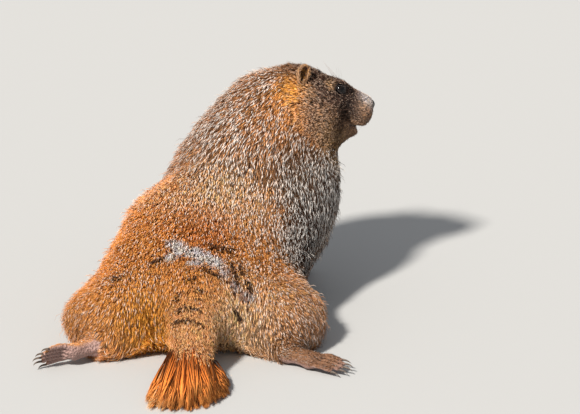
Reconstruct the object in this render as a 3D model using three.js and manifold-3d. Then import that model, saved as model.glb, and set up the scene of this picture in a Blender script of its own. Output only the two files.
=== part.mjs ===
// A yellow-bellied marmot at life size, lying on its belly with the hind legs spread,
// the chest raised on the forelegs and the head turned to its right.
// Millimetres, +Z up, +Y the way the body points, +X to the animal's right.
// The flesh is one smooth field of distances, blended from eggs and bones. A net of quads
// is laid over the field, finer where the form is finer, and cutters part it into the
// pieces that a person would name. Each surface is the outer surface of the coat.
import * as THREE from "three";
import { mergeVertices } from "three/addons/utils/BufferGeometryUtils.js";
import Module from "manifold-3d";

const wasm = await Module();
wasm.setup();

const at = (x, y, z) => new THREE.Vector3(x, y, z);
const radians = THREE.MathUtils.degToRad;
const RIGHT = 1;
const LEFT = -1;
const SIDES = { right: RIGHT, left: LEFT };

// Driving sizes of the animal
const GAP = 0.3;
const RUMP_WIDTH = 184;
const RUMP_HEIGHT = 100;
const HAUNCH_SPREAD = 272;
const HAUNCH_HEIGHT = 72;
const BELLY_WIDTH = 222;
const CHEST_WIDTH = 164;
const HEAD_WIDTH = 76;
const EYE_RADIUS = 6.2;
const EAR_HEIGHT = 22;
const EAR_WIDTH = 15;
const HIND_FOOT_LENGTH = 84;
const HIND_FOOT_WIDTH = 25;
const FORE_PAW_LENGTH = 42;
const FORE_PAW_WIDTH = 24;
const TAIL_WIDTH = 52;
const BRUSH_WIDTH = 90;
const BRUSH_END = -142;

// Places along the spine, each the middle of the body there
const SPINE = {
  rump: at(0, 70, 44),
  loin: at(8, 128, 56),
  ribs: at(26, 176, 82),
  chest: at(60, 226, 104),
  withers: at(58, 226, 142),
  nape: at(80, 254, 181),
};
const NOSE_TIP = at(188, 286, 187.5);
const HEAD_TURN = 12;
const HEAD_DROP = 19.5;
const HEAD_ROLL = -15;

// Forms of the field. Each gives the distance from a point to its surface.
function egg(centre, radii, turn = 0) {
  const cos = Math.cos(radians(turn));
  const sin = Math.sin(radians(turn));
  return (p) => {
    const dx = p.x - centre.x;
    const dy = p.y - centre.y;
    const x = dx * cos + dy * sin;
    const y = dy * cos - dx * sin;
    const z = p.z - centre.z;
    const near = Math.hypot(x / radii.x, y / radii.y, z / radii.z);
    const slope = Math.hypot(x / radii.x ** 2, y / radii.y ** 2, z / radii.z ** 2);
    return slope > 0 ? (near * (near - 1)) / slope : -Math.min(radii.x, radii.y, radii.z);
  };
}

function bone(start, end, startRadius, endRadius) {
  const way = end.clone().sub(start);
  const length = way.length();
  const along = way.clone().divideScalar(length);
  const taper = (startRadius - endRadius) / length;
  const lean = Math.sqrt(Math.max(0, 1 - taper * taper));
  return (p) => {
    const dx = p.x - start.x;
    const dy = p.y - start.y;
    const dz = p.z - start.z;
    const s = dx * along.x + dy * along.y + dz * along.z;
    const r = Math.sqrt(Math.max(0, dx * dx + dy * dy + dz * dz - s * s));
    const t = THREE.MathUtils.clamp(s - (r * taper) / lean, 0, length);
    return Math.hypot(r, s - t) - (startRadius - taper * t);
  };
}

// Blends forms into one field. A larger softness fills the creases between them more.
function blend(softness, forms) {
  return (p) => {
    let d = Infinity;
    for (const form of forms) {
      const e = form(p);
      const h = Math.max(softness - Math.abs(d - e), 0) / softness;
      d = Math.min(d, e) - (h * h * softness) / 4;
    }
    return d;
  };
}

// A form that is described in the frame of a part, such as the head, and placed in the body.
function placed(matrix, form) {
  const inverse = matrix.clone().invert();
  const q = new THREE.Vector3();
  return (p) => form(q.copy(p).applyMatrix4(inverse));
}

// A net of quads over the zero surface of a field, one vertex to a cell, as in surface nets.
const CORNERS = [0, 1, 2, 3, 4, 5, 6, 7].map((i) => at(i & 1, (i >> 1) & 1, i >> 2));
const EDGES = CORNERS.flatMap((a, i) =>
  CORNERS.flatMap((b, j) => (j > i && a.distanceTo(b) === 1 ? [[i, j]] : [])),
);

function settle(field, p, reach) {
  const STEP = 0.05;
  const home = p.clone();
  for (let round = 0; round < 4; round++) {
    const d = field(p);
    const slope = ["x", "y", "z"].map((axis) => {
      const q = p.clone();
      q[axis] += STEP;
      return (field(q) - d) / STEP;
    });
    const steep = slope[0] ** 2 + slope[1] ** 2 + slope[2] ** 2;
    if (steep < 1e-6) break;
    p.sub(at(...slope).multiplyScalar(d / steep));
  }
  const strayed = p.clone().sub(home);
  if (strayed.length() > reach) p.copy(home).add(strayed.setLength(reach));
  return p;
}

// A face of a cell whose opposite corners agree would join four quads at one edge. One of
// its outer corners is taken into the body, which fills the pinch.
function fillPinches(value, n, stride) {
  for (let k = 0; k < n[2]; k++)
    for (let j = 0; j < n[1]; j++)
      for (let i = 0; i < n[0]; i++)
        for (let axis = 0; axis < 3; axis++) {
          const base = i + j * stride[1] + k * stride[2];
          const u = stride[(axis + 1) % 3];
          const v = stride[(axis + 2) % 3];
          const ring = [base, base + u, base + u + v, base + v];
          const inside = ring.map((corner) => value[corner] < 0);
          if (inside[0] !== inside[2] || inside[1] !== inside[3] || inside[0] === inside[1]) continue;
          const outer = ring.filter((corner) => value[corner] >= 0);
          const nearer = value[outer[0]] < value[outer[1]] ? outer[0] : outer[1];
          value[nearer] = -1e-3;
        }
}

function net(field, cell, low, high) {
  const n = ["x", "y", "z"].map((axis) => Math.ceil((high[axis] - low[axis]) / cell));
  const stride = [1, n[0] + 1, (n[0] + 1) * (n[1] + 1)];
  const value = new Float64Array(stride[2] * (n[2] + 1));
  const place = (i, j, k) => at(low.x + i * cell, low.y + j * cell, low.z + k * cell);
  let corner = 0;
  for (let k = 0; k <= n[2]; k++)
    for (let j = 0; j <= n[1]; j++)
      for (let i = 0; i <= n[0]; i++) {
        const rim = !i || !j || !k || i === n[0] || j === n[1] || k === n[2];
        const d = field(place(i, j, k));
        value[corner++] = rim ? Math.max(d, cell / 2) : d;
      }
  fillPinches(value, n, stride);
  const vertexOf = new Map();
  const points = [];
  for (let k = 0; k < n[2]; k++)
    for (let j = 0; j < n[1]; j++)
      for (let i = 0; i < n[0]; i++) {
        const base = i + j * stride[1] + k * stride[2];
        const d = CORNERS.map((c) => value[base + c.x + c.y * stride[1] + c.z * stride[2]]);
        const sum = at(0, 0, 0);
        let count = 0;
        for (const [a, b] of EDGES) {
          if (d[a] < 0 === d[b] < 0) continue;
          sum.add(CORNERS[a].clone().lerp(CORNERS[b], d[a] / (d[a] - d[b])));
          count++;
        }
        if (!count) continue;
        const p = place(i, j, k).addScaledVector(sum, cell / count);
        vertexOf.set(base, points.length);
        points.push(settle(field, p, cell * 0.4));
      }
  const triangles = [];
  const addQuad = (q) => {
    const [a, b, c, d] = q;
    const short = points[a].distanceTo(points[c]) < points[b].distanceTo(points[d]);
    triangles.push(...(short ? [a, b, c, a, c, d] : [a, b, d, b, c, d]));
  };
  for (let k = 0; k < n[2]; k++)
    for (let j = 0; j < n[1]; j++)
      for (let i = 0; i < n[0]; i++) {
        const base = i + j * stride[1] + k * stride[2];
        for (let axis = 0; axis < 3; axis++) {
          const inside = value[base] < 0;
          if (inside === value[base + stride[axis]] < 0) continue;
          const u = stride[(axis + 1) % 3];
          const v = stride[(axis + 2) % 3];
          const ring = [base - u - v, base - v, base, base - u].map((c) => vertexOf.get(c));
          addQuad(inside ? ring : ring.reverse());
        }
      }
  const geometry = new THREE.BufferGeometry().setFromPoints(points);
  geometry.setIndex(triangles);
  return geometry;
}

// Solids for joining and cutting, and back to a geometry
function solid(geometry) {
  const bare = geometry.clone();
  bare.deleteAttribute("normal");
  bare.deleteAttribute("uv");
  const merged = mergeVertices(bare, 1e-4);
  return new wasm.Manifold(
    new wasm.Mesh({
      numProp: 3,
      vertProperties: new Float32Array(merged.attributes.position.array),
      triVerts: new Uint32Array(merged.index.array),
    }),
  );
}

function largest(shape) {
  const bodies = shape.decompose();
  return bodies.reduce((a, b) => (b.volume() > a.volume() ? b : a));
}

function geometryOf(shape) {
  const mesh = shape.getMesh();
  const points = [];
  for (let i = 0; i < mesh.numVert; i++) {
    const from = i * mesh.numProp;
    points.push(at(...mesh.vertProperties.subarray(from, from + 3)));
  }
  const geometry = new THREE.BufferGeometry().setFromPoints(points);
  geometry.setIndex(new THREE.BufferAttribute(mesh.triVerts, 1));
  return geometry;
}

// A bar bent along a curve, for a toe, a claw or a lock. sizes(t) gives its half width and
// half thickness at the share t of its length, and flat is the way its flat face looks.
function bent(points, sides, rings, sizes, flat = at(0, 0, 1)) {
  const curve = new THREE.CatmullRomCurve3(points);
  const geometry = new THREE.SphereGeometry(1, sides, rings);
  const place = geometry.attributes.position;
  for (let i = 0; i < place.count; i++) {
    const t = Math.acos(THREE.MathUtils.clamp(place.getY(i), -1, 1)) / Math.PI;
    const pole = t < 1e-4 || t > 1 - 1e-4;
    const around = Math.atan2(place.getZ(i), place.getX(i));
    const along = curve.getTangentAt(t);
    const across = at(0, 0, 0).crossVectors(flat, along).normalize();
    const out = at(0, 0, 0).crossVectors(along, across);
    const [width, thickness] = pole ? [0, 0] : sizes(t);
    const p = curve.getPointAt(t);
    p.addScaledVector(across, Math.cos(around) * width);
    p.addScaledVector(out, Math.sin(around) * thickness);
    place.setXYZ(i, p.x, p.y, p.z);
  }
  return solid(geometry);
}

const capsule = (startRadius, endRadius) => (t) => {
  const r = THREE.MathUtils.lerp(startRadius, endRadius, t) * Math.sin(Math.PI * t) ** 0.35;
  return [r, r];
};

const point = (radius) => (t) => {
  const r = radius * (1 - t) ** 0.7 * Math.min(1, t * 4);
  return [r * 0.8, r];
};

// A row of even random numbers from 0 to 1 that is the same at each run
function seeded(seed) {
  let state = seed;
  return () => {
    state = (state * 16807) % 2147483647;
    return state / 2147483647;
  };
}

// Cutters. Each is a function of how far it is grown, so that a piece and the hole
// that it leaves in its neighbour keep the gap between them.
const grow = (amount) => at(amount, amount, amount);

function boxCutter(matrix, low, high) {
  return (grown) => {
    const from = low.clone().sub(grow(grown));
    const to = high.clone().add(grow(grown));
    const size = to.clone().sub(from);
    const middle = from.clone().lerp(to, 0.5);
    const box = new THREE.BoxGeometry(size.x, size.y, size.z);
    box.translate(middle.x, middle.y, middle.z);
    return solid(box.applyMatrix4(matrix));
  };
}

function eggCutter(centre, radii, matrix = new THREE.Matrix4(), sides = 14) {
  return (grown) => {
    const ball = new THREE.SphereGeometry(1, sides, Math.round(sides * 0.6));
    ball.scale(radii.x + grown, radii.y + grown, radii.z + grown);
    ball.translate(centre.x, centre.y, centre.z);
    return solid(ball.applyMatrix4(matrix));
  };
}

function barCutter(start, end, startRadius, endRadius) {
  const way = end.clone().sub(start).normalize();
  const flat = Math.abs(way.z) > 0.8 ? at(1, 0, 0) : at(0, 0, 1);
  return (grown) => {
    const from = start.clone().addScaledVector(way, -startRadius - grown);
    const to = end.clone().addScaledVector(way, endRadius + grown);
    return bent([from, to], 10, 6, capsule(startRadius + grown, endRadius + grown), flat);
  };
}

// A prism across the head, drawn in side view with its corners anticlockwise
function prismCutter(matrix, outline, halfWidth) {
  return (grown) => {
    const corners = outline.map(([x, z]) => new THREE.Vector2(x, z));
    const moved = corners.map((corner, i) => {
      const a = corner.clone().sub(corners.at(i - 1)).normalize();
      const b = corners[(i + 1) % corners.length].clone().sub(corner).normalize();
      const normal = new THREE.Vector2(a.y + b.y, -a.x - b.x).normalize();
      const lean = normal.x * a.y - normal.y * a.x;
      return corner.clone().addScaledVector(normal, grown / lean);
    });
    const depth = 2 * (halfWidth + grown);
    const prism = new THREE.ExtrudeGeometry(new THREE.Shape(moved), { depth, bevelEnabled: false });
    prism.rotateX(Math.PI / 2);
    prism.translate(0, depth / 2, 0);
    return solid(prism.applyMatrix4(matrix));
  };
}

// All that lies on the side of a plane that its normal points to
function planeCutter(through, normal) {
  const HALF = 450;
  const turn = new THREE.Quaternion().setFromUnitVectors(at(0, 0, 1), normal.clone().normalize());
  const matrix = new THREE.Matrix4().compose(through, turn, at(1, 1, 1));
  return boxCutter(matrix, at(-HALF, -HALF, 0), at(HALF, HALF, HALF));
}

// Where a line from inside a form comes out of it
function comesOut(form, from, way) {
  const p = from.clone();
  for (let step = 0; step < 60; step++) p.addScaledVector(way, Math.max(0, -form(p)) * 0.8);
  return p;
}

// Trunk and neck
const rumpForm = egg(SPINE.rump, at(RUMP_WIDTH / 2, 66, RUMP_HEIGHT - SPINE.rump.z));
const loinForm = egg(SPINE.loin, at(BELLY_WIDTH / 2 - 3, 74, 66), 8);
const ribsForm = egg(SPINE.ribs, at(BELLY_WIDTH / 2 - 8, 66, 66));
const chestForm = egg(SPINE.chest, at(CHEST_WIDTH / 2, 60, 76), -12);
const backForm = bone(at(36, 190, 106), SPINE.withers, 54, 63);
const neckForm = bone(SPINE.withers, SPINE.nape, 61, 51);
const throatForm = bone(at(100, 240, 120), at(118, 258, 160), 46, 34);
const trunkForms = [rumpForm, loinForm, ribsForm, chestForm, backForm, neckForm, throatForm];

// Head, in its own frame: x forward from the nose tip, y to its left, z up
const headMatrix = new THREE.Matrix4()
  .makeTranslation(NOSE_TIP.x, NOSE_TIP.y, NOSE_TIP.z)
  .multiply(new THREE.Matrix4().makeRotationZ(radians(HEAD_TURN)))
  .multiply(new THREE.Matrix4().makeRotationY(radians(HEAD_DROP)))
  .multiply(new THREE.Matrix4().makeRotationX(radians(HEAD_ROLL)));
const inHead = (x, y, z) => at(x, y, z).applyMatrix4(headMatrix);
const headUp = inHead(0, 0, 1).sub(inHead(0, 0, 0));
const pair = (make) => [make(1), make(-1)];
const EYE = at(-45, 16.2, 4.5);
const EAR = at(-91.5, 28.5, 9);

const skullForms = [
  egg(at(-82, 0, -13), at(38, 34, 33.8)),
  egg(at(-52, 0, -9), at(30, 25, 24.2)),
  bone(at(-42, 0, 0.6), at(-9, 0, -2.4), 13, 9.2),
  ...pair((s) => egg(at(-64, s * (HEAD_WIDTH / 2 - 21), -24), at(30, 21, 25))),
  bone(at(-48, 0, -42), at(-84, 0, -54), 19, 36),
];
const muzzleForms = [
  egg(at(-24, 0, -12), at(24.5, 17, 17.5)),
  ...pair((s) => egg(at(-14, s * 9, -17), at(12.8, 9.5, 12.5))),
  egg(at(-5.5, 0, -5), at(5.5, 9, 7.5)),
];
const browForms = pair((s) => egg(at(-47, s * 15.5, 11), at(12, 6, 4)));
const chinForms = [egg(at(-17, 0, -33), at(9, 7.5, 6.5)), egg(at(-36, 0, -39), at(22, 15, 13))];
const upperForm = blend(8, [...skullForms, ...muzzleForms, ...browForms]);
const faceForm = blend(3.5, [upperForm, blend(7, chinForms)]);
const headForm = placed(headMatrix, faceForm);

// Legs. The hind legs lie spread to the sides and the forelegs prop the chest.
const HOCK = { right: at(96, 2, 13), left: at(-88, 8, 17) };
const KNEE = { right: at(112, 66, 26), left: at(-116, 66, 26) };
const FORELEGS = {
  right: { shoulder: at(104, 220, 112), elbow: at(112, 230, 60), wrist: at(110, 240, 20) },
  left: { shoulder: at(16, 240, 112), elbow: at(-4, 244, 60), wrist: at(-6, 258, 20) },
};
const haunchForms = [];
const limbForms = [];
for (const [side, s] of Object.entries(SIDES)) {
  const haunchX = s * (HAUNCH_SPREAD / 2 - 51) + 2;
  haunchForms.push(egg(at(haunchX, 60, 22), at(49, 60, HAUNCH_HEIGHT - 22)));
  limbForms.push(bone(KNEE[side], HOCK[side], 24, 10));
  const { shoulder, elbow, wrist } = FORELEGS[side];
  haunchForms.push(bone(shoulder, elbow, 44, 27));
  limbForms.push(bone(elbow, wrist, 24, 12));
}

// Feet, each in its own frame: x from the heel to the toes, y to its left, z up its back
function footFrame(heel, turn, roll, lift) {
  return new THREE.Matrix4()
    .makeTranslation(heel.x, heel.y, lift)
    .multiply(new THREE.Matrix4().makeRotationZ(radians(turn)))
    .multiply(new THREE.Matrix4().makeRotationX(radians(roll)));
}
const FEET = {
  hind_right: { matrix: footFrame(at(85, 5.5), -27, 14, 2), toeCount: 5 },
  hind_left: { matrix: footFrame(at(-84, 6), 203, 64, 11), toeCount: 5 },
  fore_right: { matrix: footFrame(at(109, 238), 84, 0, 0), toeCount: 4 },
  fore_left: { matrix: footFrame(at(-7, 256), 78, 0, 0), toeCount: 4 },
};
const hindSole = blend(6, [
  bone(at(8, 0, 9), at(34, 0, 9.5), 9, 9),
  egg(at(44, 0, 8), at(15, HIND_FOOT_WIDTH / 2, 8.5)),
]);
const foreSole = blend(6, [
  bone(at(2, 0, 13), at(16, 0, 9), 11, 9),
  egg(at(18, 0, 8), at(13, FORE_PAW_WIDTH / 2, 8.5)),
]);
const HIND_TOES = [0.78, 0.95, 1, 0.95, 0.8].map((share) => share * (HIND_FOOT_LENGTH - 46));
const FORE_TOES = [0.85, 1, 0.98, 0.82].map((share) => share * (FORE_PAW_LENGTH - 18));

// Tail: a thick root that leaves the rump, and a brush that spreads on the floor
const TAIL_JOINT = 4;
const BRUSH_JOINT = -44;
const rootForm = blend(10, [
  bone(at(0, 34, 60), at(-1, -6, 38), 31, 26),
  bone(at(-1, -6, 36), at(-2, -46, 19), 26, TAIL_WIDTH / 2 - 6),
]);
const brushCore = blend(12, [
  egg(at(-2, -46, 19), at(TAIL_WIDTH / 2 - 1, 34, 23)),
  egg(at(-4, -74, 12), at(TAIL_WIDTH / 2 - 2, 30, 11)),
]);

// The fan of the brush: rows of locks from the floor up, each row with its number of locks,
// the height of its roots and tips, and the share of the fan that it reaches
const BRUSH_ROWS = [
  { count: 12, root: 8, tip: 3.2, reach: 1, spread: 1 },
  { count: 11, root: 17, tip: 7.5, reach: 0.97, spread: 0.94 },
  { count: 9, root: 26, tip: 14, reach: 0.86, spread: 0.84 },
  { count: 7, root: 35, tip: 22, reach: 0.68, spread: 0.66 },
];

const bodyForm = blend(14, [
  blend(26, [...trunkForms, ...haunchForms]),
  blend(12, [headForm, neckForm]),
  ...limbForms,
  rootForm,
]);

// Carving. The pieces are taken out of the flesh one after the other, and each leaves a
// hole a gap wider than itself, so that all that comes later meets it face to face.
const group = new THREE.Group();
const taken = [planeCutter(at(0, 0, 0), at(0, 0, -1))(0)];
function keep(name, shape, hole, colour, roughness = 0.9) {
  const body = largest(taken.reduce((left, cut) => left.subtract(cut), shape));
  const material = new THREE.MeshStandardMaterial({ color: colour, roughness, metalness: 0 });
  const mesh = new THREE.Mesh(geometryOf(body), material);
  mesh.name = name;
  group.add(mesh);
  taken.push(hole);
}

const RUST = 0xb9743c;
const GRIZZLED = 0xa67650;
const BROWN = 0x5c4636;
const SKIN = 0x86706a;
const CLAW = 0x2c2524;
const BLACK = 0x14110f;

// Eyes
for (const [side, s] of Object.entries(SIDES)) {
  const ball = eggCutter(at(EYE.x, -s * EYE.y, EYE.z), grow(EYE_RADIUS), headMatrix, 12);
  keep(`eye_${side}`, ball(0), ball(GAP), BLACK, 0.08);
}

// Ears: a cup that is open to the side, with a thick root in the skull
for (const [side, s] of Object.entries(SIDES)) {
  const radii = at(EAR_WIDTH / 2, 5, EAR_HEIGHT / 2);
  const cup = eggCutter(at(EAR.x, -s * EAR.y, EAR.z), radii, headMatrix);
  const hollow = eggCutter(
    at(EAR.x + 0.8, -s * (EAR.y + 3.2), EAR.z + 0.6),
    radii.clone().sub(at(1.7, 0.6, 2)),
    headMatrix,
    12,
  );
  keep(`ear_${side}`, cup(0).subtract(hollow(0)), cup(GAP), BROWN);
}

// Head, with the nose pad and the lower jaw taken out of it first
const headNet = solid(net(bodyForm, 5.6, at(57, 189, 101), at(206, 334, 250)));
const noseCutter = eggCutter(at(-0.5, 0, -5), at(6.5, 7.2, 8), headMatrix, 12);
const nostrils = pair((s) =>
  bent(
    [inHead(3, s * 2.6, -4), inHead(0.5, s * 4.4, -5.2), inHead(-3.5, s * 7.4, -4)],
    6,
    6,
    capsule(1.7, 1),
  ),
);
const nosePad = nostrils.reduce((pad, hole) => pad.subtract(hole), headNet.intersect(noseCutter(0)));
keep("nose_pad", nosePad, noseCutter(GAP), BLACK, 0.4);

const JAW_OUTLINE = [
  [-60, -56],
  [30, -56],
  [30, -26],
  [-6, -27.5],
  [-27, -30],
  [-60, -39],
];
const jawCutter = prismCutter(headMatrix, JAW_OUTLINE, 24);
const MOUTH_CORNER = radians(112);
const mouth = [-1, -0.8, -0.6, -0.4, -0.2, 0, 0.2, 0.4, 0.6, 0.8, 1].map((share) => {
  const turn = share * MOUTH_CORNER;
  const way = at(Math.cos(turn), Math.sin(turn), 0);
  const rise = -27.3 - Math.abs(share) ** 3 * 2.2;
  const p = comesOut(faceForm, at(-18, 0, rise), way);
  return p.applyMatrix4(headMatrix);
});
const lipGroove = bent(mouth, 5, 20, (t) => [1.3, 1.5 * Math.sin(Math.PI * t) ** 0.5], headUp);
const jaw = headNet.intersect(jawCutter(0)).subtract(lipGroove);
keep("lower_jaw", jaw, jawCutter(GAP), BROWN);

const HEAD_OUTLINE = [
  [-108, 70],
  [-108, -8],
  [-90, -42],
  [-60, -56],
  [40, -56],
  [40, 70],
];
const headCutter = prismCutter(headMatrix, HEAD_OUTLINE, 62);

const lids = pair((s) => {
  const ring = new THREE.TorusGeometry(5.1, 1.5, 6, 16);
  ring.rotateX(Math.PI / 2);
  ring.scale(1.12, 1, 0.94);
  ring.rotateZ(radians(-s * 12));
  ring.translate(EYE.x + 0.8, s * (EYE.y + 3.6), EYE.z);
  return solid(ring.applyMatrix4(headMatrix));
});
const bareHead = headNet.intersect(headCutter(0)).subtract(lipGroove);
const headFlesh = lids.reduce((flesh, lid) => flesh.add(lid), bareHead);
keep("head", headFlesh, headCutter(GAP), BROWN);

// Feet, with the claws taken out of them first
for (const [name, { matrix, toeCount }] of Object.entries(FEET)) {
  const [leg, side] = name.split("_");
  const inFoot = (x, y, z) => at(x, y, z).applyMatrix4(matrix);
  const back = inFoot(0, 0, 1).sub(inFoot(0, 0, 0));
  const hind = leg === "hind";
  const lengths = hind ? HIND_TOES : FORE_TOES;
  const root = hind ? 46 : 18;
  const spread = (hind ? HIND_FOOT_WIDTH : FORE_PAW_WIDTH) / (toeCount - 0.3);
  const claw = hind ? 8 : 11;
  const toes = lengths.map((length, i) => {
    const y = (i - (toeCount - 1) / 2) * spread;
    const end = root + length;
    const toe = [inFoot(root - 4, y * 0.85, 8), inFoot(root + length * 0.5, y, 9), inFoot(end, y * 1.12, 5)];
    const nail = (grown) =>
      bent(
        [
          inFoot(end - 3 - grown, y * 1.12, 6),
          inFoot(end + claw * 0.5, y * 1.16, 6.2),
          inFoot(end + claw + grown, y * 1.22, 2.4),
        ],
        5,
        4,
        point(2 + grown),
        back,
      );
    keep(`${leg}_claw_${side}_${i + 1}`, nail(0), nail(GAP), CLAW, 0.35);
    return bent(toe, 6, 5, capsule(3.9, 3.3), back);
  });
  const sole = placed(matrix, hind ? hindSole : foreSole);
  const form = blend(6, [sole, bodyForm]);
  const middle = inFoot(hind ? 34 : 12, 0, 8);
  const [low, high] = [middle.clone().sub(grow(64)), middle.clone().add(grow(64))];
  const ends = [inFoot(hind ? -4 : -13, 0, 9.5), inFoot(hind ? 70 : 38, 0, 8.5)];
  const around = (grown) => (t) => {
    const share = Math.sin(Math.PI * t) ** 0.35;
    return [share * (18 + grown), share * (12.5 + grown)];
  };
  const cutter = (grown) => bent(ends, 10, 6, around(grown), back);
  const flesh = solid(net(form, 8.6, low, high)).intersect(cutter(0));
  const foot = toes.reduce((body, toe) => body.add(toe), flesh);
  keep(hind ? `hind_foot_${side}` : `forepaw_${side}`, foot, cutter(GAP), SKIN);
}

// Lower legs
for (const side of Object.keys(SIDES)) {
  const { elbow, wrist } = FORELEGS[side];
  const around = (a, b) => [a.clone().min(b).sub(grow(40)), a.clone().max(b).add(grow(40))];
  const arm = barCutter(elbow.clone().lerp(wrist, 0.35), wrist, 26, 22);
  const armNet = solid(net(bodyForm, 10.5, ...around(elbow, wrist)));
  keep(`forearm_${side}`, armNet.intersect(arm(0)), arm(GAP), GRIZZLED);
  const shin = KNEE[side].clone().lerp(HOCK[side], 0.55);
  const leg = barCutter(shin, HOCK[side], 18, 16);
  const legNet = solid(net(bodyForm, 10.5, ...around(shin, HOCK[side])));
  keep(`shank_${side}`, legNet.intersect(leg(0)), leg(GAP), RUST);
}

// Tail
function brushLocks() {
  const dice = seeded(7);
  return BRUSH_ROWS.flatMap(({ count, root, tip, reach, spread }, row) =>
    Array.from({ length: count }, (_, i) => {
      const share = ((i + 0.5) / count) * 2 - 1 + (dice() - 0.5) * 0.1;
      const side = share * spread;
      const long = reach * (0.93 + dice() * 0.12);
      const end = at(
        -5 + side * (BRUSH_WIDTH / 2),
        -46 + (BRUSH_END + 46) * long * (1 - 0.42 * side * side),
        tip + dice() * 2,
      );
      const start = at(-2 + side * 13, -50 - (1 - Math.abs(side)) * 8, root);
      const bow = start.clone().lerp(end, 0.55);
      bow.x += side * 6 + (dice() - 0.5) * 3;
      bow.z += 3.5 - row;
      const width = 6.8 - row * 0.3;
      const sizes = (t) => {
        const taper = Math.min(1, t * 4) * (1 - t ** 2.2) + 0.04;
        return [width * taper, 2.7 * taper];
      };
      return bent([start, bow, end], 4, 4, sizes);
    }),
  );
}
const brushNet = solid(net(brushCore, 11, at(-66, BRUSH_END - 14, -20), at(60, -6, 52)));
const brushCutter = planeCutter(at(0, BRUSH_JOINT, 0), at(0, -1, 0));
const brush = brushLocks().reduce((body, lock) => body.add(lock), brushNet);
keep("tail_brush", brush.intersect(brushCutter(0)), brushCutter(GAP), 0xa9552a);
const rootNet = solid(net(bodyForm, 10, at(-60, -80, -16), at(60, 34, 100)));
const rootCutter = boxCutter(new THREE.Matrix4(), at(-48, -200, -50), at(48, TAIL_JOINT, 120));
keep("tail_root", rootNet.intersect(rootCutter(0)), rootCutter(GAP), 0xc98f4d);

// Thighs, upper arms, and the trunk in four lengths
const bodyNet = solid(net(bodyForm, 17.7, at(-171, -41, -27), at(236, 340, 274)));
for (const [side, s] of Object.entries(SIDES)) {
  const centre = at(s * (HAUNCH_SPREAD / 2 - 45), 58, 20);
  const thigh = eggCutter(centre, at(52, 62, HAUNCH_HEIGHT - 14), undefined, 12);
  keep(`thigh_${side}`, bodyNet.intersect(thigh(0)), thigh(GAP), RUST);
  const { shoulder, elbow } = FORELEGS[side];
  const middle = shoulder.clone().lerp(elbow, 0.55).add(at(s * 6, 0, 0));
  const arm = eggCutter(middle, at(42, 42, 60), undefined, 12);
  keep(`upper_arm_${side}`, bodyNet.intersect(arm(0)), arm(GAP), GRIZZLED);
}
const neckCutter = planeCutter(at(64, 236, 152), at(0.32, 0.42, 0.85));
const chestCutter = planeCutter(at(42, 196, 92), at(0.34, 0.84, 0.42));
const torsoCutter = planeCutter(at(0, 72, 50), at(0.06, 0.98, 0.2));
keep("neck", bodyNet.intersect(neckCutter(0)), neckCutter(GAP), GRIZZLED);
keep("chest", bodyNet.intersect(chestCutter(0)), chestCutter(GAP), GRIZZLED);
keep("torso", bodyNet.intersect(torsoCutter(0)), torsoCutter(GAP), 0xb4703a);
keep("rump", bodyNet, bodyNet, RUST);

// The middle of the box on the floor is the origin
const bounds = new THREE.Box3().setFromObject(group);
const middle = bounds.getCenter(at(0, 0, 0));
group.position.set(-middle.x, -middle.y, -bounds.min.z);
group.updateMatrixWorld(true);

export default group;
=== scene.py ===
# %% [markdown]
# # A yellow-bellied marmot, life size and still
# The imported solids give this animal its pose, its outline and its size. This lesson
# covers them with one skin, and covers the skin with a coat of solid tufts. Eyes, nose,
# claws and whiskers are pieces of their own. Everything is in metres, in the solids'
# own frame, so a place that is known from the plan can be used as it is.
# %% Load the frame
import math

import bpy
import numpy as np
from mathutils import Matrix, Vector, kdtree
from mathutils.bvhtree import BVHTree


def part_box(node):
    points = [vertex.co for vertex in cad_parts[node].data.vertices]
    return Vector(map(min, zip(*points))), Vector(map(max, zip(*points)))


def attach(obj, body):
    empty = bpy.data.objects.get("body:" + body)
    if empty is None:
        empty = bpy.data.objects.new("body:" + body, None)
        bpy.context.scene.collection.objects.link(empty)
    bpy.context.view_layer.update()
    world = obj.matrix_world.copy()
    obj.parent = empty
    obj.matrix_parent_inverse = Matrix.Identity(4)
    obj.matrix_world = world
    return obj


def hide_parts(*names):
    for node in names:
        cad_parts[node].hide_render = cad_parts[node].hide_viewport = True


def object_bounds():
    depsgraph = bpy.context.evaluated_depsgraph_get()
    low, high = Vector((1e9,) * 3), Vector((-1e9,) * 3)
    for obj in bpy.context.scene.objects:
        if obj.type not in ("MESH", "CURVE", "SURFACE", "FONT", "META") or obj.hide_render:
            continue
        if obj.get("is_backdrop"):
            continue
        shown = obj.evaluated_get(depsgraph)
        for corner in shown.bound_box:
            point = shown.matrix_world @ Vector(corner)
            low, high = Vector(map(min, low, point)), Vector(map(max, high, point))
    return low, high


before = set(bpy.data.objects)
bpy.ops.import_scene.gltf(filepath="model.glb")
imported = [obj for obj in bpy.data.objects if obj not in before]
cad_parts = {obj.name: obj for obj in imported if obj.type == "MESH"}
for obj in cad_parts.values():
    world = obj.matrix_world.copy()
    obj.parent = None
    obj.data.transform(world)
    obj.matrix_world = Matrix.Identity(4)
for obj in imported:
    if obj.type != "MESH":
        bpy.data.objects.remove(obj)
cad_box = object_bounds()
print("solids from", cad_box[0][:], "to", cad_box[1][:])

# %% [markdown]
# ## Places
# The animal was laid out in millimetres on a plan whose origin is between its hind feet.
# The frame's origin is under the middle of its box instead. Both eyes are whole balls,
# so their boxes show how far one lies from the other. The head has a frame of its own,
# with x out of the nose, y to the animal's left and z up through the crown.
# %% The plan and the head's frame
MM = 0.001  # metres
NOSE_TIP = Vector((188, 286, 187.5))
HEAD_TURN, HEAD_DROP, HEAD_ROLL = math.radians(12), math.radians(19.5), math.radians(-15)
EYE = Vector((-45, 16.2, 4.5))
EYE_RADIUS = 6.2
EAR = Vector((-91.5, 28.5, 9))

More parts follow.
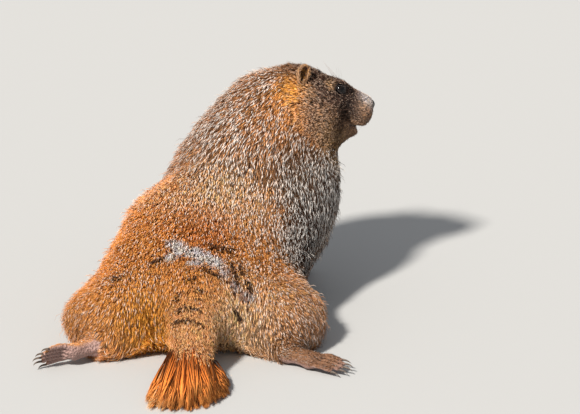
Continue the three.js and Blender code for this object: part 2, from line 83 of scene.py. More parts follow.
on_plan = (
    Matrix.Translation(NOSE_TIP)
    @ Matrix.Rotation(HEAD_TURN, 4, "Z")
    @ Matrix.Rotation(HEAD_DROP, 4, "Y")
    @ Matrix.Rotation(HEAD_ROLL, 4, "X")
)


def middle(node):
    low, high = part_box(node)
    return (Vector(low) + Vector(high)) / 2


eyes_on_plan = on_plan @ Vector((EYE.x, 0, EYE.z))
eyes_in_frame = (middle("eye_left") + middle("eye_right")) / 2
PLAN = Matrix.Translation(eyes_in_frame) @ Matrix.Scale(MM, 4) @ Matrix.Translation(-eyes_on_plan)
HEAD = PLAN @ on_plan
SHIFT = np.array(PLAN.translation)


def spot(x, y, z):
    return PLAN @ Vector((x, y, z))


def moved(points, matrix):
    by = np.array(matrix)
    return points @ by[:3, :3].T + by[:3, 3]


def to_plan(points):
    return (points - SHIFT) / MM


def to_head(points):
    return moved(points, HEAD.inverted())


def from_head(points):
    return moved(np.array(points, float), HEAD)


print("the plan's origin is at", SHIFT.round(4))

# %% [markdown]
# ## Camera, floor and light
# The photograph was taken from behind and a little above, with a long lens, so the
# camera stands far off and sees 0.6 m across. A pale floor, a broad key light from the
# upper left and a bright sky keep the shadows soft.
# %% Set the stage
ACROSS = 0.609
DISTANCE = 8.0
SENSOR = 36
LOOK_DOWN = math.radians(20)
LOOK_AT = (99.75, 120, 129.5)
KEY_FROM = (-0.58, -0.7, 0.95)
camera_data = bpy.data.cameras.new("camera")
camera_data.sensor_width = SENSOR
camera_data.lens = SENSOR * DISTANCE / ACROSS
camera_data.clip_end = 200
camera = bpy.data.objects.new("camera", camera_data)
bpy.context.collection.objects.link(camera)
target = spot(*LOOK_AT)
camera.location = target + Vector((0, -math.cos(LOOK_DOWN), math.sin(LOOK_DOWN))) * DISTANCE
camera.rotation_euler = (math.pi / 2 - LOOK_DOWN, 0, 0)
bpy.context.scene.camera = camera

bpy.ops.object.select_all(action="DESELECT")
bpy.ops.mesh.primitive_plane_add(size=60, location=(0, 0, 0))
floor = bpy.context.object
floor.name = "floor"
floor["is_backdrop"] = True
paper = bpy.data.materials.new("pale_floor")
paper.use_nodes = True
matt = paper.node_tree.nodes["Principled BSDF"]
matt.inputs["Base Color"].default_value = (0.43, 0.427, 0.418, 1)
matt.inputs["Roughness"].default_value = 0.9
floor.data.materials.append(paper)

key_data = bpy.data.lights.new("key", "SUN")
key_data.energy = 6.0
key_data.angle = math.radians(7)
key_data.color = (1.0, 0.96, 0.9)
key = bpy.data.objects.new("key", key_data)
key.rotation_euler = Vector(KEY_FROM).to_track_quat("Z", "Y").to_euler()
bpy.context.collection.objects.link(key)

sky = bpy.data.worlds.new("sky")
sky.use_nodes = True
glow = sky.node_tree.nodes["Background"]
glow.inputs["Color"].default_value = (0.9, 0.94, 1.0, 1)
glow.inputs["Strength"].default_value = 0.45
bpy.context.scene.world = sky
bpy.context.scene.view_settings.view_transform = "Standard"
print("camera at", camera.location[:])

# %% [markdown]
# ## Markings
# A marmot's coat is a map of a few hair colours that run into each other. Each entry
# names a place on the plan, how far its colour reaches, the hair's colour, and how many
# of its hairs have pale tips or are dark all over. A point of skin or a tuft mixes the
# entries that are near it, so the skin and the coat always agree.
# %% The map of hair colours
def hair(red, green, blue):
    share = np.array([red, green, blue]) / 255
    return np.where(share <= 0.04045, share / 12.92, ((share + 0.055) / 1.055) ** 2.4)


RUST = hair(216, 132, 66)
ORANGE = hair(238, 160, 84)
TAWNY = hair(228, 162, 110)
GOLD = hair(246, 166, 58)
HONEY = hair(255, 184, 124)
SAND = hair(236, 186, 132)
BUFF = hair(255, 204, 152)
DUN = hair(190, 146, 112)
UMBER = hair(128, 84, 58)
DARK = hair(80, 50, 38)
SOOT = hair(34, 23, 20)
ASH = hair(244, 236, 234)
CREAM = hair(255, 252, 246)
RUSSET = hair(220, 126, 54)
MAUVE = hair(176, 140, 130)

MAP = [  # place on the plan, reach, hair, share of pale tips, share of dark hairs
    # muzzle and the dark band behind it
    ((180, 264, 188), 6, DUN, 0.45, 0.7),
    ((184, 277, 196), 6, ASH * 0.7, 0.4, 0.4),
    ((176, 290, 184), 7, DUN, 0.4, 0.5),
    ((168, 258, 190), 9, SOOT * 0.6, 0.03, 0.6),
    ((168, 296, 184), 9, SOOT * 0.6, 0.03, 0.6),
    # eyes, brow, forehead and crown
    ((153, 258, 208), 10, DARK * 0.6, 0.14, 0.5),
    ((143, 292, 203), 10, DARK, 0.08, 0.5),
    ((143, 256, 219), 4, SAND, 0.5, 0.1),
    ((150, 276, 218), 14, DARK * 0.65, 0.3, 0.5),
    ((128, 262, 230), 14, DARK * 0.75, 0.35, 0.5),
    ((104, 262, 235), 14, UMBER * 0.65, 0.45, 0.45),
    # gold behind the ear, then cheek, jaw and throat
    ((99, 234, 228), 8, GOLD, 0.08, 0.12),
    ((92, 222, 218), 9, GOLD, 0.15, 0.12),
    ((114, 238, 214), 5, SAND, 0.4, 0.35),
    ((132, 240, 208), 10, DARK * 0.8, 0.25, 0.4),
    ((129, 224, 194), 13, DUN, 0.45, 0.5),
    ((149, 242, 184), 14, DARK * 0.6, 0.14, 0.4),
    ((142, 229, 168), 12, SAND, 0.55, 0.5),
    ((165, 266, 158), 9, DUN, 0.4, 0.5),
    ((150, 247, 147), 16, SAND, 0.6, 0.4),
    ((130, 300, 170), 26, UMBER, 0.4, 0.3),
    # nape, neck and shoulders, grizzled
    ((74, 248, 230), 20, TAWNY * 0.9, 0.42, 0.5),
    ((58, 201, 209), 24, TAWNY, 0.42, 0.45),
    ((21, 212, 199), 22, TAWNY, 0.58, 0.35),
    ((90, 200, 205), 18, ORANGE, 0.25, 0.35),
    ((110, 186, 169), 18, TAWNY * 0.85, 0.42, 0.5),
    ((40, 180, 175), 26, TAWNY, 0.42, 0.35),
    # painted shade: DUN * 0.8 darkens the right shoulder, the side turned from the light
    ((121, 176, 139), 18, DUN * 0.8, 0.55, 0.55),
    # right flank, painted darker as shade, with the coat's own white tips
    ((142, 189, 112), 16, UMBER, 0.6, 0.6),
    ((131, 171, 91), 18, UMBER * 0.8, 0.5, 0.6),
    ((110, 131, 89), 20, UMBER, 0.55, 0.55),
    # pale saddle and rusty back
    ((-21, 145, 134), 22, HONEY, 0.3, 0.1),
    ((21, 134, 140), 22, BUFF, 0.35, 0.14),
    ((68, 123, 120), 20, HONEY, 0.4, 0.3),
    ((5, 99, 117), 24, RUST, 0.15, 0.3),
    ((-47, 104, 109), 26, ORANGE, 0.2, 0.12),
    ((-84, 96, 80), 30, ORANGE, 0.25, 0.12),
    ((70, 70, 95), 24, ORANGE, 0.3, 0.3),
    # rump, haunches and the root of the tail
    ((-5, 14, 80), 20, ORANGE, 0.15, 0.12),
    ((-5, -14, 66), 15, HONEY, 0.06, 0.0),
    ((-105, 24, 55), 34, ORANGE, 0.25, 0.12),
    ((100, 20, 56), 34, HONEY, 0.36, 0.1),
    ((-60, 8, 32), 20, GOLD, 0.1, 0.12),
    ((50, 8, 32), 24, BUFF, 0.15, 0.05),
    ((-8, -37, 47), 16, HONEY, 0.08, 0.08),
    # chest, forelegs and shanks
    ((0, 290, 60), 50, TAWNY, 0.3, 0.2),
    ((120, 240, 60), 34, DUN, 0.5, 0.4),
    ((-20, 250, 60), 34, TAWNY, 0.35, 0.2),
    # painted shade: the right shank and foot are umber with many dark hairs, for the shade they lie in; the
    # left shank is tawny
    ((112, -6, 10), 24, UMBER, 0.2, 0.5),
    ((-100, 0, 14), 20, TAWNY, 0.2, 0.2),
]
PLACES = np.array([place for place, *_ in MAP], float)
REACHES = np.array([reach for _, reach, *_ in MAP], float)
VALUES = np.array([[*colour, pale, dark] for *_, colour, pale, dark in MAP])
print("the map has", len(MAP), "entries")

# %% [markdown]
# ## Worn patches, creases and mottle
# Three finer marks lie over the map. The winter coat is worn down to grey wool on the
# lower back. Gaps open where the coat is bent over the tail's root and the rump, with
# painted shade in them.
# The face is finely mottled. Sums of a few sine waves make their edges ragged, because
# they need no picture and come out the same each time.
# %% The finer marks
WORN = [  # place, size
    ((-22, 72, 106), (9, 6, 8)),
    ((-15, 62, 102), (8, 8, 8)),
    ((-26, 54, 97), (6, 5, 6)),
    ((0, 58, 102), (10, 7, 8)),
    ((13, 51, 99), (11, 7, 9)),
    ((24, 46, 95), (8, 7, 8)),
    ((1, 41, 95), (9, 4, 5)),
    ((33, 36, 87), (6, 6, 8)),
    ((43, 26, 76), (6, 6, 8)),
    ((55, 21, 65), (8, 6, 7)),
]
CREASES = [  # two arcs over the tail's root, then short gaps on the rump
    [(-18, -7, 63), (-9, -7, 67), (0, -10, 67), (8, -13, 64)],
    [(-22, -17, 52), (-15, -20, 58), (-5, -23, 60), (3, -25, 58), (9, -26, 54)],
    [(-20, 6, 71), (-15, 8, 76)],
    [(1, 10, 81), (9, 8, 79)],
    [(3, 1, 74), (7, 0, 73)],
    [(-12, 20, 87), (3, 22, 89)],
    [(-45, 54, 92), (-33, 59, 98)],
    [(16, 71, 106), (26, 70, 104), (42, 71, 100)],
    [(9, 37, 94), (19, 34, 90), (28, 32, 87)],
    [(39, 52, 93), (43, 40, 86), (48, 32, 79)],
    [(47, 55, 92), (51, 44, 85)],
    [(55, 37, 79), (60, 29, 72)],
    [(43, 13, 58), (48, 11, 47)],
    [(-86, 54, 76), (-77, 51, 79)],
]
RAGGED = [((0.75, 0.41, 0.2), 0), ((-0.45, 0.82, 0.5), 1.3), ((1.5, -0.9, 0.3), 0)]  # waves
MOTTLE = [((1.7, 0.6, 0.4), 0), ((-0.6, 1.5, 1.3), 0.7), ((0.5, -1.1, 1.8), 2.1)]
BATCH = 20000  # points at a time, to spare memory
RUMP_ENDS = 90
CREASE_WIDTH = 1.25


def waves(plan, directions):
    return sum(np.sin(plan @ direction + turn) for direction, turn in directions)


def worn_at(points):
    """1 inside the ragged worn patches of the lower back, 0 outside them."""
    plan = to_plan(points)
    wave = waves(plan, RAGGED)
    found = np.zeros(len(plan))
    for centre, size in WORN:
        away = (((plan - centre) / size) ** 2).sum(1)
        found = np.maximum(found, 1 / (1 + np.exp(np.minimum(8 * (away - 1.25 + 0.32 * wave), 60))))
    return found


def creases_at(points):
    """1 in the gaps of the coat, where tufts painted dark stand for the shade, 0 away from them."""
    plan = to_plan(points)
    found = np.zeros(len(plan))
    near_any = np.flatnonzero(plan[:, 1] < RUMP_ENDS)
    here = plan[near_any]
    ragged = 1 + 0.35 * np.sin(here @ (1.3, 0.6, 0.9)) + 0.25 * np.sin(here @ (-0.7, 1.9, 1.1))
    for line in CREASES:
        for begin, end in zip(np.array(line[:-1], float), np.array(line[1:], float)):
            along = end - begin
            t = np.clip(((here - begin) @ along) / (along @ along), 0, 1)[:, None]
            away = np.linalg.norm((here - begin - t * along) * (1, 0.8, 1), axis=1)
            found[near_any] = np.maximum(found[near_any], np.exp(-((away / (CREASE_WIDTH * ragged)) ** 2)))
    return found


def mottle_at(points):
    """How much lighter or darker the mottle makes the face; 0 away from it."""
    plan = to_plan(points)
    on_face = np.clip((to_head(points)[:, 0] + 92) / 20, 0, 1) * np.clip((plan[:, 1] - 215) / 20, 0, 1)
    bent = plan + 1.7 * np.sin(plan[:, [1, 2, 0]] * 0.62) + 0.9 * np.sin(plan[:, [2, 0, 1]] * 1.45)
    return (0.4 * np.clip(waves(bent, MOTTLE), -1.9, 1.9) - 0.08) * on_face


def markings(points):
    """The hair's colour, and the shares of pale and of dark hairs, at points of the frame."""
    plan = to_plan(points)
    found = np.zeros((len(plan), 5))
    for start in range(0, len(plan), BATCH):
        part = plan[start : start + BATCH]
        far = ((part[:, None, :] - PLACES[None]) ** 2).sum(2) / (2 * REACHES**2)
        weight = np.exp(-far) + 1e-3 / (1 + far) ** 2
        found[start : start + BATCH] = (weight / weight.sum(1, keepdims=True)) @ VALUES
    colour, pale, dark = found[:, :3], found[:, 3], found[:, 4]
    colour = colour * (1 + mottle_at(points))[:, None]
    worn = worn_at(points)[:, None]
    matted = ASH + (MAUVE * 0.8 - ASH) * np.clip((plan[:, :1] - 26) / 12, 0, 1)
    colour = colour + (matted - colour) * worn * 0.95
    pale = pale + (0.3 - pale) * worn[:, 0]
    dark = dark * (1 - worn[:, 0])
    return colour, pale, dark


print("worn patches:", len(WORN), "creases:", len(CREASES))

# %% [markdown]
# ## The skin
# Copies of every node of flesh are joined and remeshed with small voxels, which closes
# the fine gaps between the nodes and leaves one closed surface with no seam. A ball is
# added where the tail goes into its brush, so that the skin doesn't end short.
# %% Join the flesh and remesh it
SIDES = ("left", "right")
TRUNK = ["head", "lower_jaw", "nose_pad", "neck", "chest", "torso", "rump", "tail_root"]
LIMBS = ["thigh", "shank", "hind_foot", "upper_arm", "forearm", "forepaw"]
FLESH = TRUNK + [f"{limb}_{side}" for limb in LIMBS for side in SIDES]
VOXEL = 0.0024
add_ball = bpy.ops.mesh.primitive_uv_sphere_add


def only(*chosen):
    bpy.ops.object.select_all(action="DESELECT")
    for piece in chosen:
        piece.select_set(True)
    bpy.context.view_layer.objects.active = chosen[-1]


def primitive(add, **settings):
    """Add one with nothing else selected, because operators act on all that is."""
    bpy.ops.object.select_all(action="DESELECT")
    add(**settings)
    return bpy.context.object


def copy_of(node):
    twin = bpy.data.objects.new("copy_" + node, bpy.data.objects[node].data.copy())
    bpy.context.collection.objects.link(twin)
    return twin


def corners(mesh):
    found = np.empty(len(mesh.vertices) * 3)
    mesh.vertices.foreach_get("co", found)
    return found.reshape(-1, 3)


def move_corners(mesh, points):
    mesh.vertices.foreach_set("co", points.ravel())
    mesh.update()


def triangles(mesh):
    mesh.calc_loop_triangles()
    found = np.empty(len(mesh.loop_triangles) * 3, np.int32)
    mesh.loop_triangles.foreach_get("vertices", found)
    return found.reshape(-1, 3)


twins = [copy_of(node) for node in FLESH]
all_corners, all_faces, owner, first = [], [], [], 0
for number, twin in enumerate(twins):
    found = corners(twin.data)
    faces = triangles(twin.data) + first
    all_corners.append(found)
    all_faces.append(faces)
    owner += [number] * len(faces)
    first += len(found)
all_corners = np.concatenate(all_corners)
flesh_tree = BVHTree.FromPolygons(all_corners.tolist(), np.concatenate(all_faces).tolist())

tail_core = primitive(add_ball, segments=32, ring_count=20, radius=MM, location=spot(-2, -42, 21))
bpy.ops.transform.resize(value=(24, 36, 18))
bpy.ops.object.transform_apply(location=True, rotation=True, scale=True)
only(*twins, tail_core)
bpy.context.view_layer.objects.active = twins[0]
bpy.ops.object.join()
skin = bpy.context.object
skin.name = "skin"
skin.data.materials.clear()
bpy.ops.object.mode_set(mode="EDIT")
bpy.ops.mesh.select_all(action="SELECT")
bpy.ops.mesh.remove_doubles(threshold=1e-6)
bpy.ops.object.mode_set(mode="OBJECT")
remesh = skin.modifiers.new("one_surface", "REMESH")
remesh.mode = "VOXEL"
remesh.voxel_size = VOXEL
bpy.ops.object.modifier_apply(modifier="one_surface")
print("skin has", len(skin.data.polygons), "faces")

# %% [markdown]
# The head and the feet need finer faces than the trunk, for lips, lids and toes. Their
# faces are picked by place and cut in four.
# %% Finer faces on the head and the feet
middles = np.empty(len(skin.data.polygons) * 3)
skin.data.polygons.foreach_get("center", middles)
middles = middles.reshape(-1, 3)
in_head, in_plan = to_head(middles), to_plan(middles)
on_head = (in_head[:, 0] > -76) & (in_head[:, 2] > -50) & (np.abs(in_head[:, 1]) < 45)
hind = (np.abs(in_plan[:, 0] - 5) > 88) & (in_plan[:, 1] < 14) & (in_plan[:, 2] < 34)
fore = (in_plan[:, 1] > 252) & (in_plan[:, 2] < 22)
on_feet = hind | fore
only(skin)
bpy.ops.object.mode_set(mode="EDIT")
bpy.ops.mesh.select_mode(type="FACE")
bpy.ops.mesh.select_all(action="DESELECT")
bpy.ops.object.mode_set(mode="OBJECT")
skin.data.polygons.foreach_set("select", on_head | on_feet)
bpy.ops.object.mode_set(mode="EDIT")
bpy.ops.mesh.subdivide(number_cuts=1, smoothness=0)
bpy.ops.object.mode_set(mode="OBJECT")
print("skin has", len(skin.data.polygons), "faces after the cuts")

# %% [markdown]
# ## What each part of the skin is like
# Every point of the skin takes its values from the node that lies nearest: how deep the
# coat is over it, and how long, how wide, how many and how raised its tufts are, and
# which way they lie. These values are then spread over their neighbours, so that no
# border between two nodes shows.
# %% Values for the coat, node by node
DOWN_NECK = (-0.42, -0.56, -0.7)
ALONG_BACK = (-0.12, -0.86, -0.5)
COAT = {  # depth, length, width (mm), tufts in a square mm, lie on the plan
    "head": (2.2, 7.0, 0.75, 1.2, None),
    "lower_jaw": (1.6, 5.5, 0.7, 1.2, None),
    "nose_pad": (0.2, 2.0, 0.5, 1.0, None),
    "neck": (5.0, 14, 0.9, 0.92, DOWN_NECK),
    "chest": (5.5, 15, 0.95, 0.8, (-0.2, -0.4, -0.9)),
    "torso": (5.6, 14, 0.85, 1.0, ALONG_BACK),
    "rump": (5.2, 12, 0.72, 1.35, (0.0, -0.86, -0.5)),
    "tail_root": (4.2, 12, 0.7, 1.5, (0.0, -0.92, -0.4)),
    "thigh_left": (5.0, 12, 0.72, 1.3, (-0.35, -0.6, -0.72)),
    "thigh_right": (5.0, 12, 0.72, 1.3, (0.35, -0.6, -0.72)),
    "shank_left": (3.0, 10, 0.9, 0.9, (-0.1, -0.95, -0.3)),
    "shank_right": (3.0, 10, 0.9, 0.9, (0.1, -0.95, -0.3)),
    "hind_foot_left": (0.5, 4.2, 0.6, 1.4, (-0.92, -0.38, 0)),
    "hind_foot_right": (0.5, 4.2, 0.6, 1.4, (0.89, -0.45, 0)),
    "upper_arm_left": (5.0, 14, 1.0, 0.8, (0, 0.1, -1)),
    "upper_arm_right": (5.0, 14, 1.0, 0.8, (0, 0.1, -1)),
    "forearm_left": (3.0, 9, 0.9, 0.9, (0, 0.2, -1)),
    "forearm_right": (3.0, 9, 0.9, 0.9, (0, 0.2, -1)),
    "forepaw_left": (0.5, 4.0, 0.6, 1.4, (0.2, 1, -0.1)),
    "forepaw_right": (0.5, 4.0, 0.6, 1.4, (0.1, 1, -0.1)),
}


def edges_of(mesh):
    found = np.empty(len(mesh.edges) * 2, np.int32)
    mesh.edges.foreach_get("vertices", found)
    return found.reshape(-1, 2)


def spread(values, edges, rounds, hold=0.0):
    """Each value moves towards the mean of its neighbours' values, again and again."""
    values = np.array(values, float)
    flat = values.reshape(len(values), -1)
    both = np.concatenate([edges, edges[:, ::-1]])
    count = np.maximum(np.bincount(both[:, 0], minlength=len(flat)), 1)[:, None]
    for _ in range(rounds):
        near = [np.bincount(both[:, 0], column[both[:, 1]], len(flat)) for column in flat.T]
        flat = flat * hold + (np.stack(near, 1) / count) * (1 - hold)
    return flat.reshape(values.shape)


def unit(vectors):
    return vectors / np.maximum(np.linalg.norm(vectors, axis=1, keepdims=True), 1e-12)


def normals_of(mesh):
    found = np.empty(len(mesh.vertices) * 3)
    mesh.vertices.foreach_get("normal", found)
    return found.reshape(-1, 3)


place = corners(skin.data)
edges = edges_of(skin.data)
nearest = np.array([owner[flesh_tree.find_nearest(p)[2]] for p in place.tolist()])
plan, local = to_plan(place), to_head(place)
table = np.array([COAT[node][:4] for node in FLESH], float)[nearest]
depth, length, width, density = table.T.copy()
lie = np.array([COAT[node][4] or (0, 0, 0) for node in FLESH], float)[nearest]
headward = np.isin(nearest, [FLESH.index(node) for node in ("head", "lower_jaw", "nose_pad")])
turned = np.array(HEAD.to_3x3()) / np.linalg.norm(np.array(HEAD.to_3x3())[:, 0])
outward = np.sign(local[:, 1])[:, None] * np.array([[0, 0.28, 0]])
low_cheek = np.clip((-local[:, 2] - 8) / 30, 0, 1)[:, None] * np.array([[0, 0, -0.5]])
lie[headward] = ((np.array([[-1, 0, 0]]) + outward + low_cheek) @ turned.T)[headward]
print("points nearest the head:", int(headward.sum()))

# %% [markdown]
# On the face the hair grows longer with its distance from the nose, from about 2.5 mm on
# the muzzle to 9 mm behind the ears. Longer hair hangs over the belly's edge and hides
# the line where the animal meets the floor. The nose and the rims of the eyes are bare.
# Then the skin is smoothed and sunk, so that the tips of the coat reach the solids' face.
# %% Shorter hair on the face, and the bare places
from_nose = np.clip((-local[:, 0] - 6) / 84, 0, 1)
length[headward] = (2.8 + 7.4 * from_nose**1.1)[headward]
depth[headward] = (0.9 + 2.5 * from_nose**1.3)[headward]
width[headward] = (0.62 + 0.2 * from_nose)[headward]
density[headward] = (2.0 - 0.8 * from_nose)[headward]
low_edge = np.clip((26 - plan[:, 2]) / 14, 0, 1) * (plan[:, 1] < 40) * (np.abs(plan[:, 0] + 3) < 92)
length *= 1 + 0.8 * low_edge * (depth > 4)
depth, length, width = spread(np.stack([depth, length, width], 1), edges, 14).T
density = spread(density, edges, 6)
lie = spread(lie, edges, 36)

nose_middle = np.array([-1.5, 0, -3.5])
on_nose = np.exp(-(np.linalg.norm((local - nose_middle) / (6.0, 7.2, 6.6), axis=1) ** 8))
bare = on_nose.copy()
for side in (1, -1):
    eye_here = np.array([EYE.x, side * EYE.y, EYE.z])
    bare = np.maximum(bare, np.exp(-((np.linalg.norm(local - eye_here, axis=1) / 7.1) ** 10)))

around = spread(place, edges, 2, hold=0.3)
smoother = spread(place, edges, 26)
share = np.clip((length - 6) / 8, 0, 1)[:, None]
place = around + (smoother - around) * share
move_corners(skin.data, place)
normal = unit(spread(normals_of(skin.data), edges, 3))
sink = depth + on_nose * 2.4
place = place - normal * (sink * MM)[:, None]
place[:, 2] = np.maximum(place[:, 2], 0.0004)
under_solids = np.array([flesh_tree.find_nearest(p)[3] for p in place.tolist()]) * 1000
depth = spread(np.clip(under_solids, depth, depth * 1.9), edges, 6)
print("the skin sank by up to", round(float(depth.max()), 2), "mm")

# %% [markdown]
# ## The line of the mouth
# The lips meet in a fine groove that runs back from under the nose, and a second short
# groove joins it to the nose. Points near those lines are pushed in, as with a
# sculpting tool. The muzzle's side, the lip and the chin are filled out a little.
# %% Press the mouth's line into the skin
def bump_at(points, centre, size):
    return np.exp(-(((points - centre) / size) ** 2).sum(1))


local = to_head(place)
angle = np.arctan2(local[:, 1], local[:, 0] + 18)
share = np.abs(angle) / math.radians(112)
line = -29.4 - share**3 * 0.6
groove = np.exp(-(((local[:, 2] - line) / 1.8) ** 2)) * (share < 1) * (local[:, 0] > -62)
groove *= np.clip((1 - share) * 8, 0, 1)
split = np.exp(-((local[:, 1] / 1.3) ** 2)) * (local[:, 0] > -9) * np.clip((-12 - local[:, 2]) / 2, 0, 1)
split *= np.clip((local[:, 2] + 29) / 2, 0, 1)
press = np.maximum(groove * 3.0, split * 1.2)
chin = bump_at(local, (-11, 0, -35), (7, 7, 4.5))
upper_lip = np.exp(-(((local[:, 2] + 25.4) / 2.4) ** 2)) * (share < 1)
upper_lip *= np.clip((local[:, 0] + 40) / 20, 0, 1)
full = bump_at(local, (-1, 0, -17), (7, 10, 7))
corner = bump_at(local, (-5, 0, -28), (6, 12, 3.5))
swell = chin * 2.2 + upper_lip * 0.8 + full * 1.2 - corner * 1.9
place = place + normal * ((swell - press) * MM)[:, None]
lip = np.exp(-(((local[:, 2] - line) / 1.9) ** 2)) * (share < 1) * (local[:, 0] > -62)
bare = np.maximum(bare, lip * 0.8)
move_corners(skin.data, place)
print("points pressed in:", int((press > 0.3).sum()))

# %% [markdown]
# ## Feet
# The hind feet are long and narrow with five toes, the forepaws short with four. The
# solids give each toe as a plain finger, so here the gaps between them are pressed
# deeper, knuckles are raised, and pads swell from the soles. The soles and the toes'
# undersides are bare and leathery. All this is worked out in each foot's own frame.
# %% Shape the feet
FEET = {  # heel, turn, roll, toes, where the toes start, length, width
    "hind_foot_right": ((85, 5.5, 2), -27, 14, 5, 46, 84, 25),
    "hind_foot_left": ((-84, 6, 11), 203, 64, 5, 46, 84, 25),
    "forepaw_right": ((109, 238, 0), 84, 0, 4, 18, 42, 24),
    "forepaw_left": ((-7, 256, 0), 78, 0, 4, 18, 42, 24),
}


def foot_frame(foot):
    heel, turn, roll = FEET[foot][:3]
    turned = Matrix.Rotation(math.radians(turn), 4, "Z") @ Matrix.Rotation(math.radians(roll), 4, "X")
    return PLAN @ Matrix.Translation(Vector(heel)) @ turned


def toe_rows(foot):
    toes, width = FEET[foot][3], FEET[foot][6]
    return [(number - (toes - 1) / 2) * width / (toes - 0.3) for number in range(toes)]


normal = unit(normals_of(skin.data))
sole = np.zeros(len(place))
swell = np.zeros(len(place))
for foot, (_, _, _, toes, toe_start, whole, broad) in FEET.items():
    own = nearest == FLESH.index(foot)
    up = np.array(foot_frame(foot).to_3x3())[:, 2] * 1000
    facing = normal @ up
    here = moved(place, foot_frame(foot).inverted())
    tips = np.clip((here[:, 0] - (whole - 16)) / 12, 0, 1)
    sole = np.where(own, np.maximum(np.clip(0.35 - facing * 2, 0, 1), tips * 0.6), sole)
    rows = toe_rows(foot)
    on_toes = np.clip((here[:, 0] - toe_start) / 6, 0, 1)
    reach = np.clip((here[:, 0] - toe_start) / (whole - toe_start), 0, 1)
    for first_row, second_row in zip(rows, rows[1:]):
        gap = (first_row + second_row) / 2 * (0.85 + 0.27 * reach)
        swell -= own * on_toes * 2.4 * np.exp(-(((here[:, 1] - gap) / 0.95) ** 2))
    for number, row in enumerate(rows):
        knuckle = toe_start + (whole - toe_start) * (0.34 + 0.05 * (number % 2))
        swell += own * (facing > 0) * 0.9 * bump_at(here, (knuckle, row, 13), (3.2, 2.2, 7))
        pad = whole - 5.5 - abs(row) * 0.35
        swell += own * 1.3 * bump_at(here, (pad, row * 1.1, 4), (3.8, 2.2, 9))
    for side_way in (-0.62, 0, 0.62):
        pad = (toe_start - 2 - abs(side_way) * 5, side_way * broad * 0.5, 1)
        swell += own * (facing < 0.2) * 1.3 * bump_at(here, pad, (4.6, 3.4, 7))
    if foot.startswith("hind"):
        for along, side_way in ((22, 5), (17, -4.5)):
            swell += own * (facing < 0.2) * 1.0 * bump_at(here, (along, side_way, 1), (5.5, 3.2, 7))
place = place + normal * (swell * MM)[:, None]
place[:, 2] = np.maximum(place[:, 2], 0.0003)
move_corners(skin.data, place)
sole = spread(sole, edges, 8)
bare = np.maximum(bare, sole)
print("bare points:", int((bare > 0.5).sum()), "toes:", sum(FEET[foot][3] for foot in FEET))

# %% [markdown]
# ## Values kept on the skin
# The skin shows only between the tufts, where real fur is dark down at its roots, so it
# takes the coat's colours much darkened. Where it is bare it has its own mauve brown.
# Colours and values are kept as attributes of the mesh, so that they stay with their
# points when the ears and the lids are joined to it.
# %% Paint the skin
def paint(mesh, name, values):
    layer = mesh.color_attributes.new(name=name, type="FLOAT_COLOR", domain="POINT")
    full = np.ones((len(mesh.vertices), 4), np.float32)
    full[:, :3] = values
    layer.data.foreach_set("color", full.ravel())


def tell(mesh, name, values):
    values = np.asarray(values, np.float32)
    kind = "FLOAT_VECTOR" if values.ndim == 2 else "FLOAT"
    layer = mesh.attributes.new(name=name, type=kind, domain="POINT")
    layer.data.foreach_set("vector" if values.ndim == 2 else "value", values.ravel())


def told(mesh, name):
    layer = mesh.attributes[name]
    wide_layer = layer.data_type == "FLOAT_VECTOR"
    found = np.empty(len(mesh.vertices) * (3 if wide_layer else 1), np.float32)
    layer.data.foreach_get("vector" if wide_layer else "value", found)
    return (found.reshape(-1, 3) if wide_layer else found).astype(float)


def describe(mesh, colour, **values):
    paint(mesh, "hair_colour", colour)
    for name, value in values.items():
        tell(mesh, name, value)


colour, _, _ = markings(place)
under = colour * 0.5 + DARK * 0.05
skin_colour = under + (MAUVE * 0.75 - under) * sole[:, None]
lips = np.clip(bare - sole, 0, 1)
skin_colour += (SOOT - skin_colour) * lips[:, None]
about_hair = {"depth": depth, "length": length, "width": width, "density": density, "lie": lie}
describe(skin.data, skin_colour, bare=bare, owner=nearest, **about_hair)
print("values kept on the skin:", [layer.name for layer in skin.data.attributes if layer.name in about_hair])

# %% [markdown]
# ## Ears
# A marmot's ear is a low round cup with a thick rim, open to the side. A ball is cut
# open with a bisecting plane, given a wall with Solidify and rounded with Subdivision
# Surface. Bisect numbers its points anew each time, so they are put in one fixed order,
# or else the hairs would grow in other places on each run. Short hair covers the ear's
# rim and its back, and its hollow is painted dark as shade in the cup.
# %% Model the ears
EARS = len(FLESH)
EAR_SIZE = (7.0, 6.4, 10.6)
EAR_HOLLOW = (5.6, 5.2, 9.0)
EAR_WALL = 1.7
LEFT_EAR_DROP = 3.2


def in_fixed_order(piece):
    """Sort the points by place and the faces by their points."""
    points = corners(piece.data).round(3)
    order = np.lexsort(points.T)
    number_of = np.argsort(order)
    faces = []
    for face in piece.data.polygons:
        numbers = [int(number_of[point]) for point in face.vertices]
        first = numbers.index(min(numbers))
        faces.append(numbers[first:] + numbers[:first])
    piece.data.clear_geometry()
    piece.data.from_pydata(points[order].tolist(), [], sorted(faces))


def face_outwards(piece):
    only(piece)
    bpy.ops.object.mode_set(mode="EDIT")
    bpy.ops.mesh.select_all(action="SELECT")
    bpy.ops.mesh.normals_make_consistent(inside=False)
    bpy.ops.object.mode_set(mode="OBJECT")


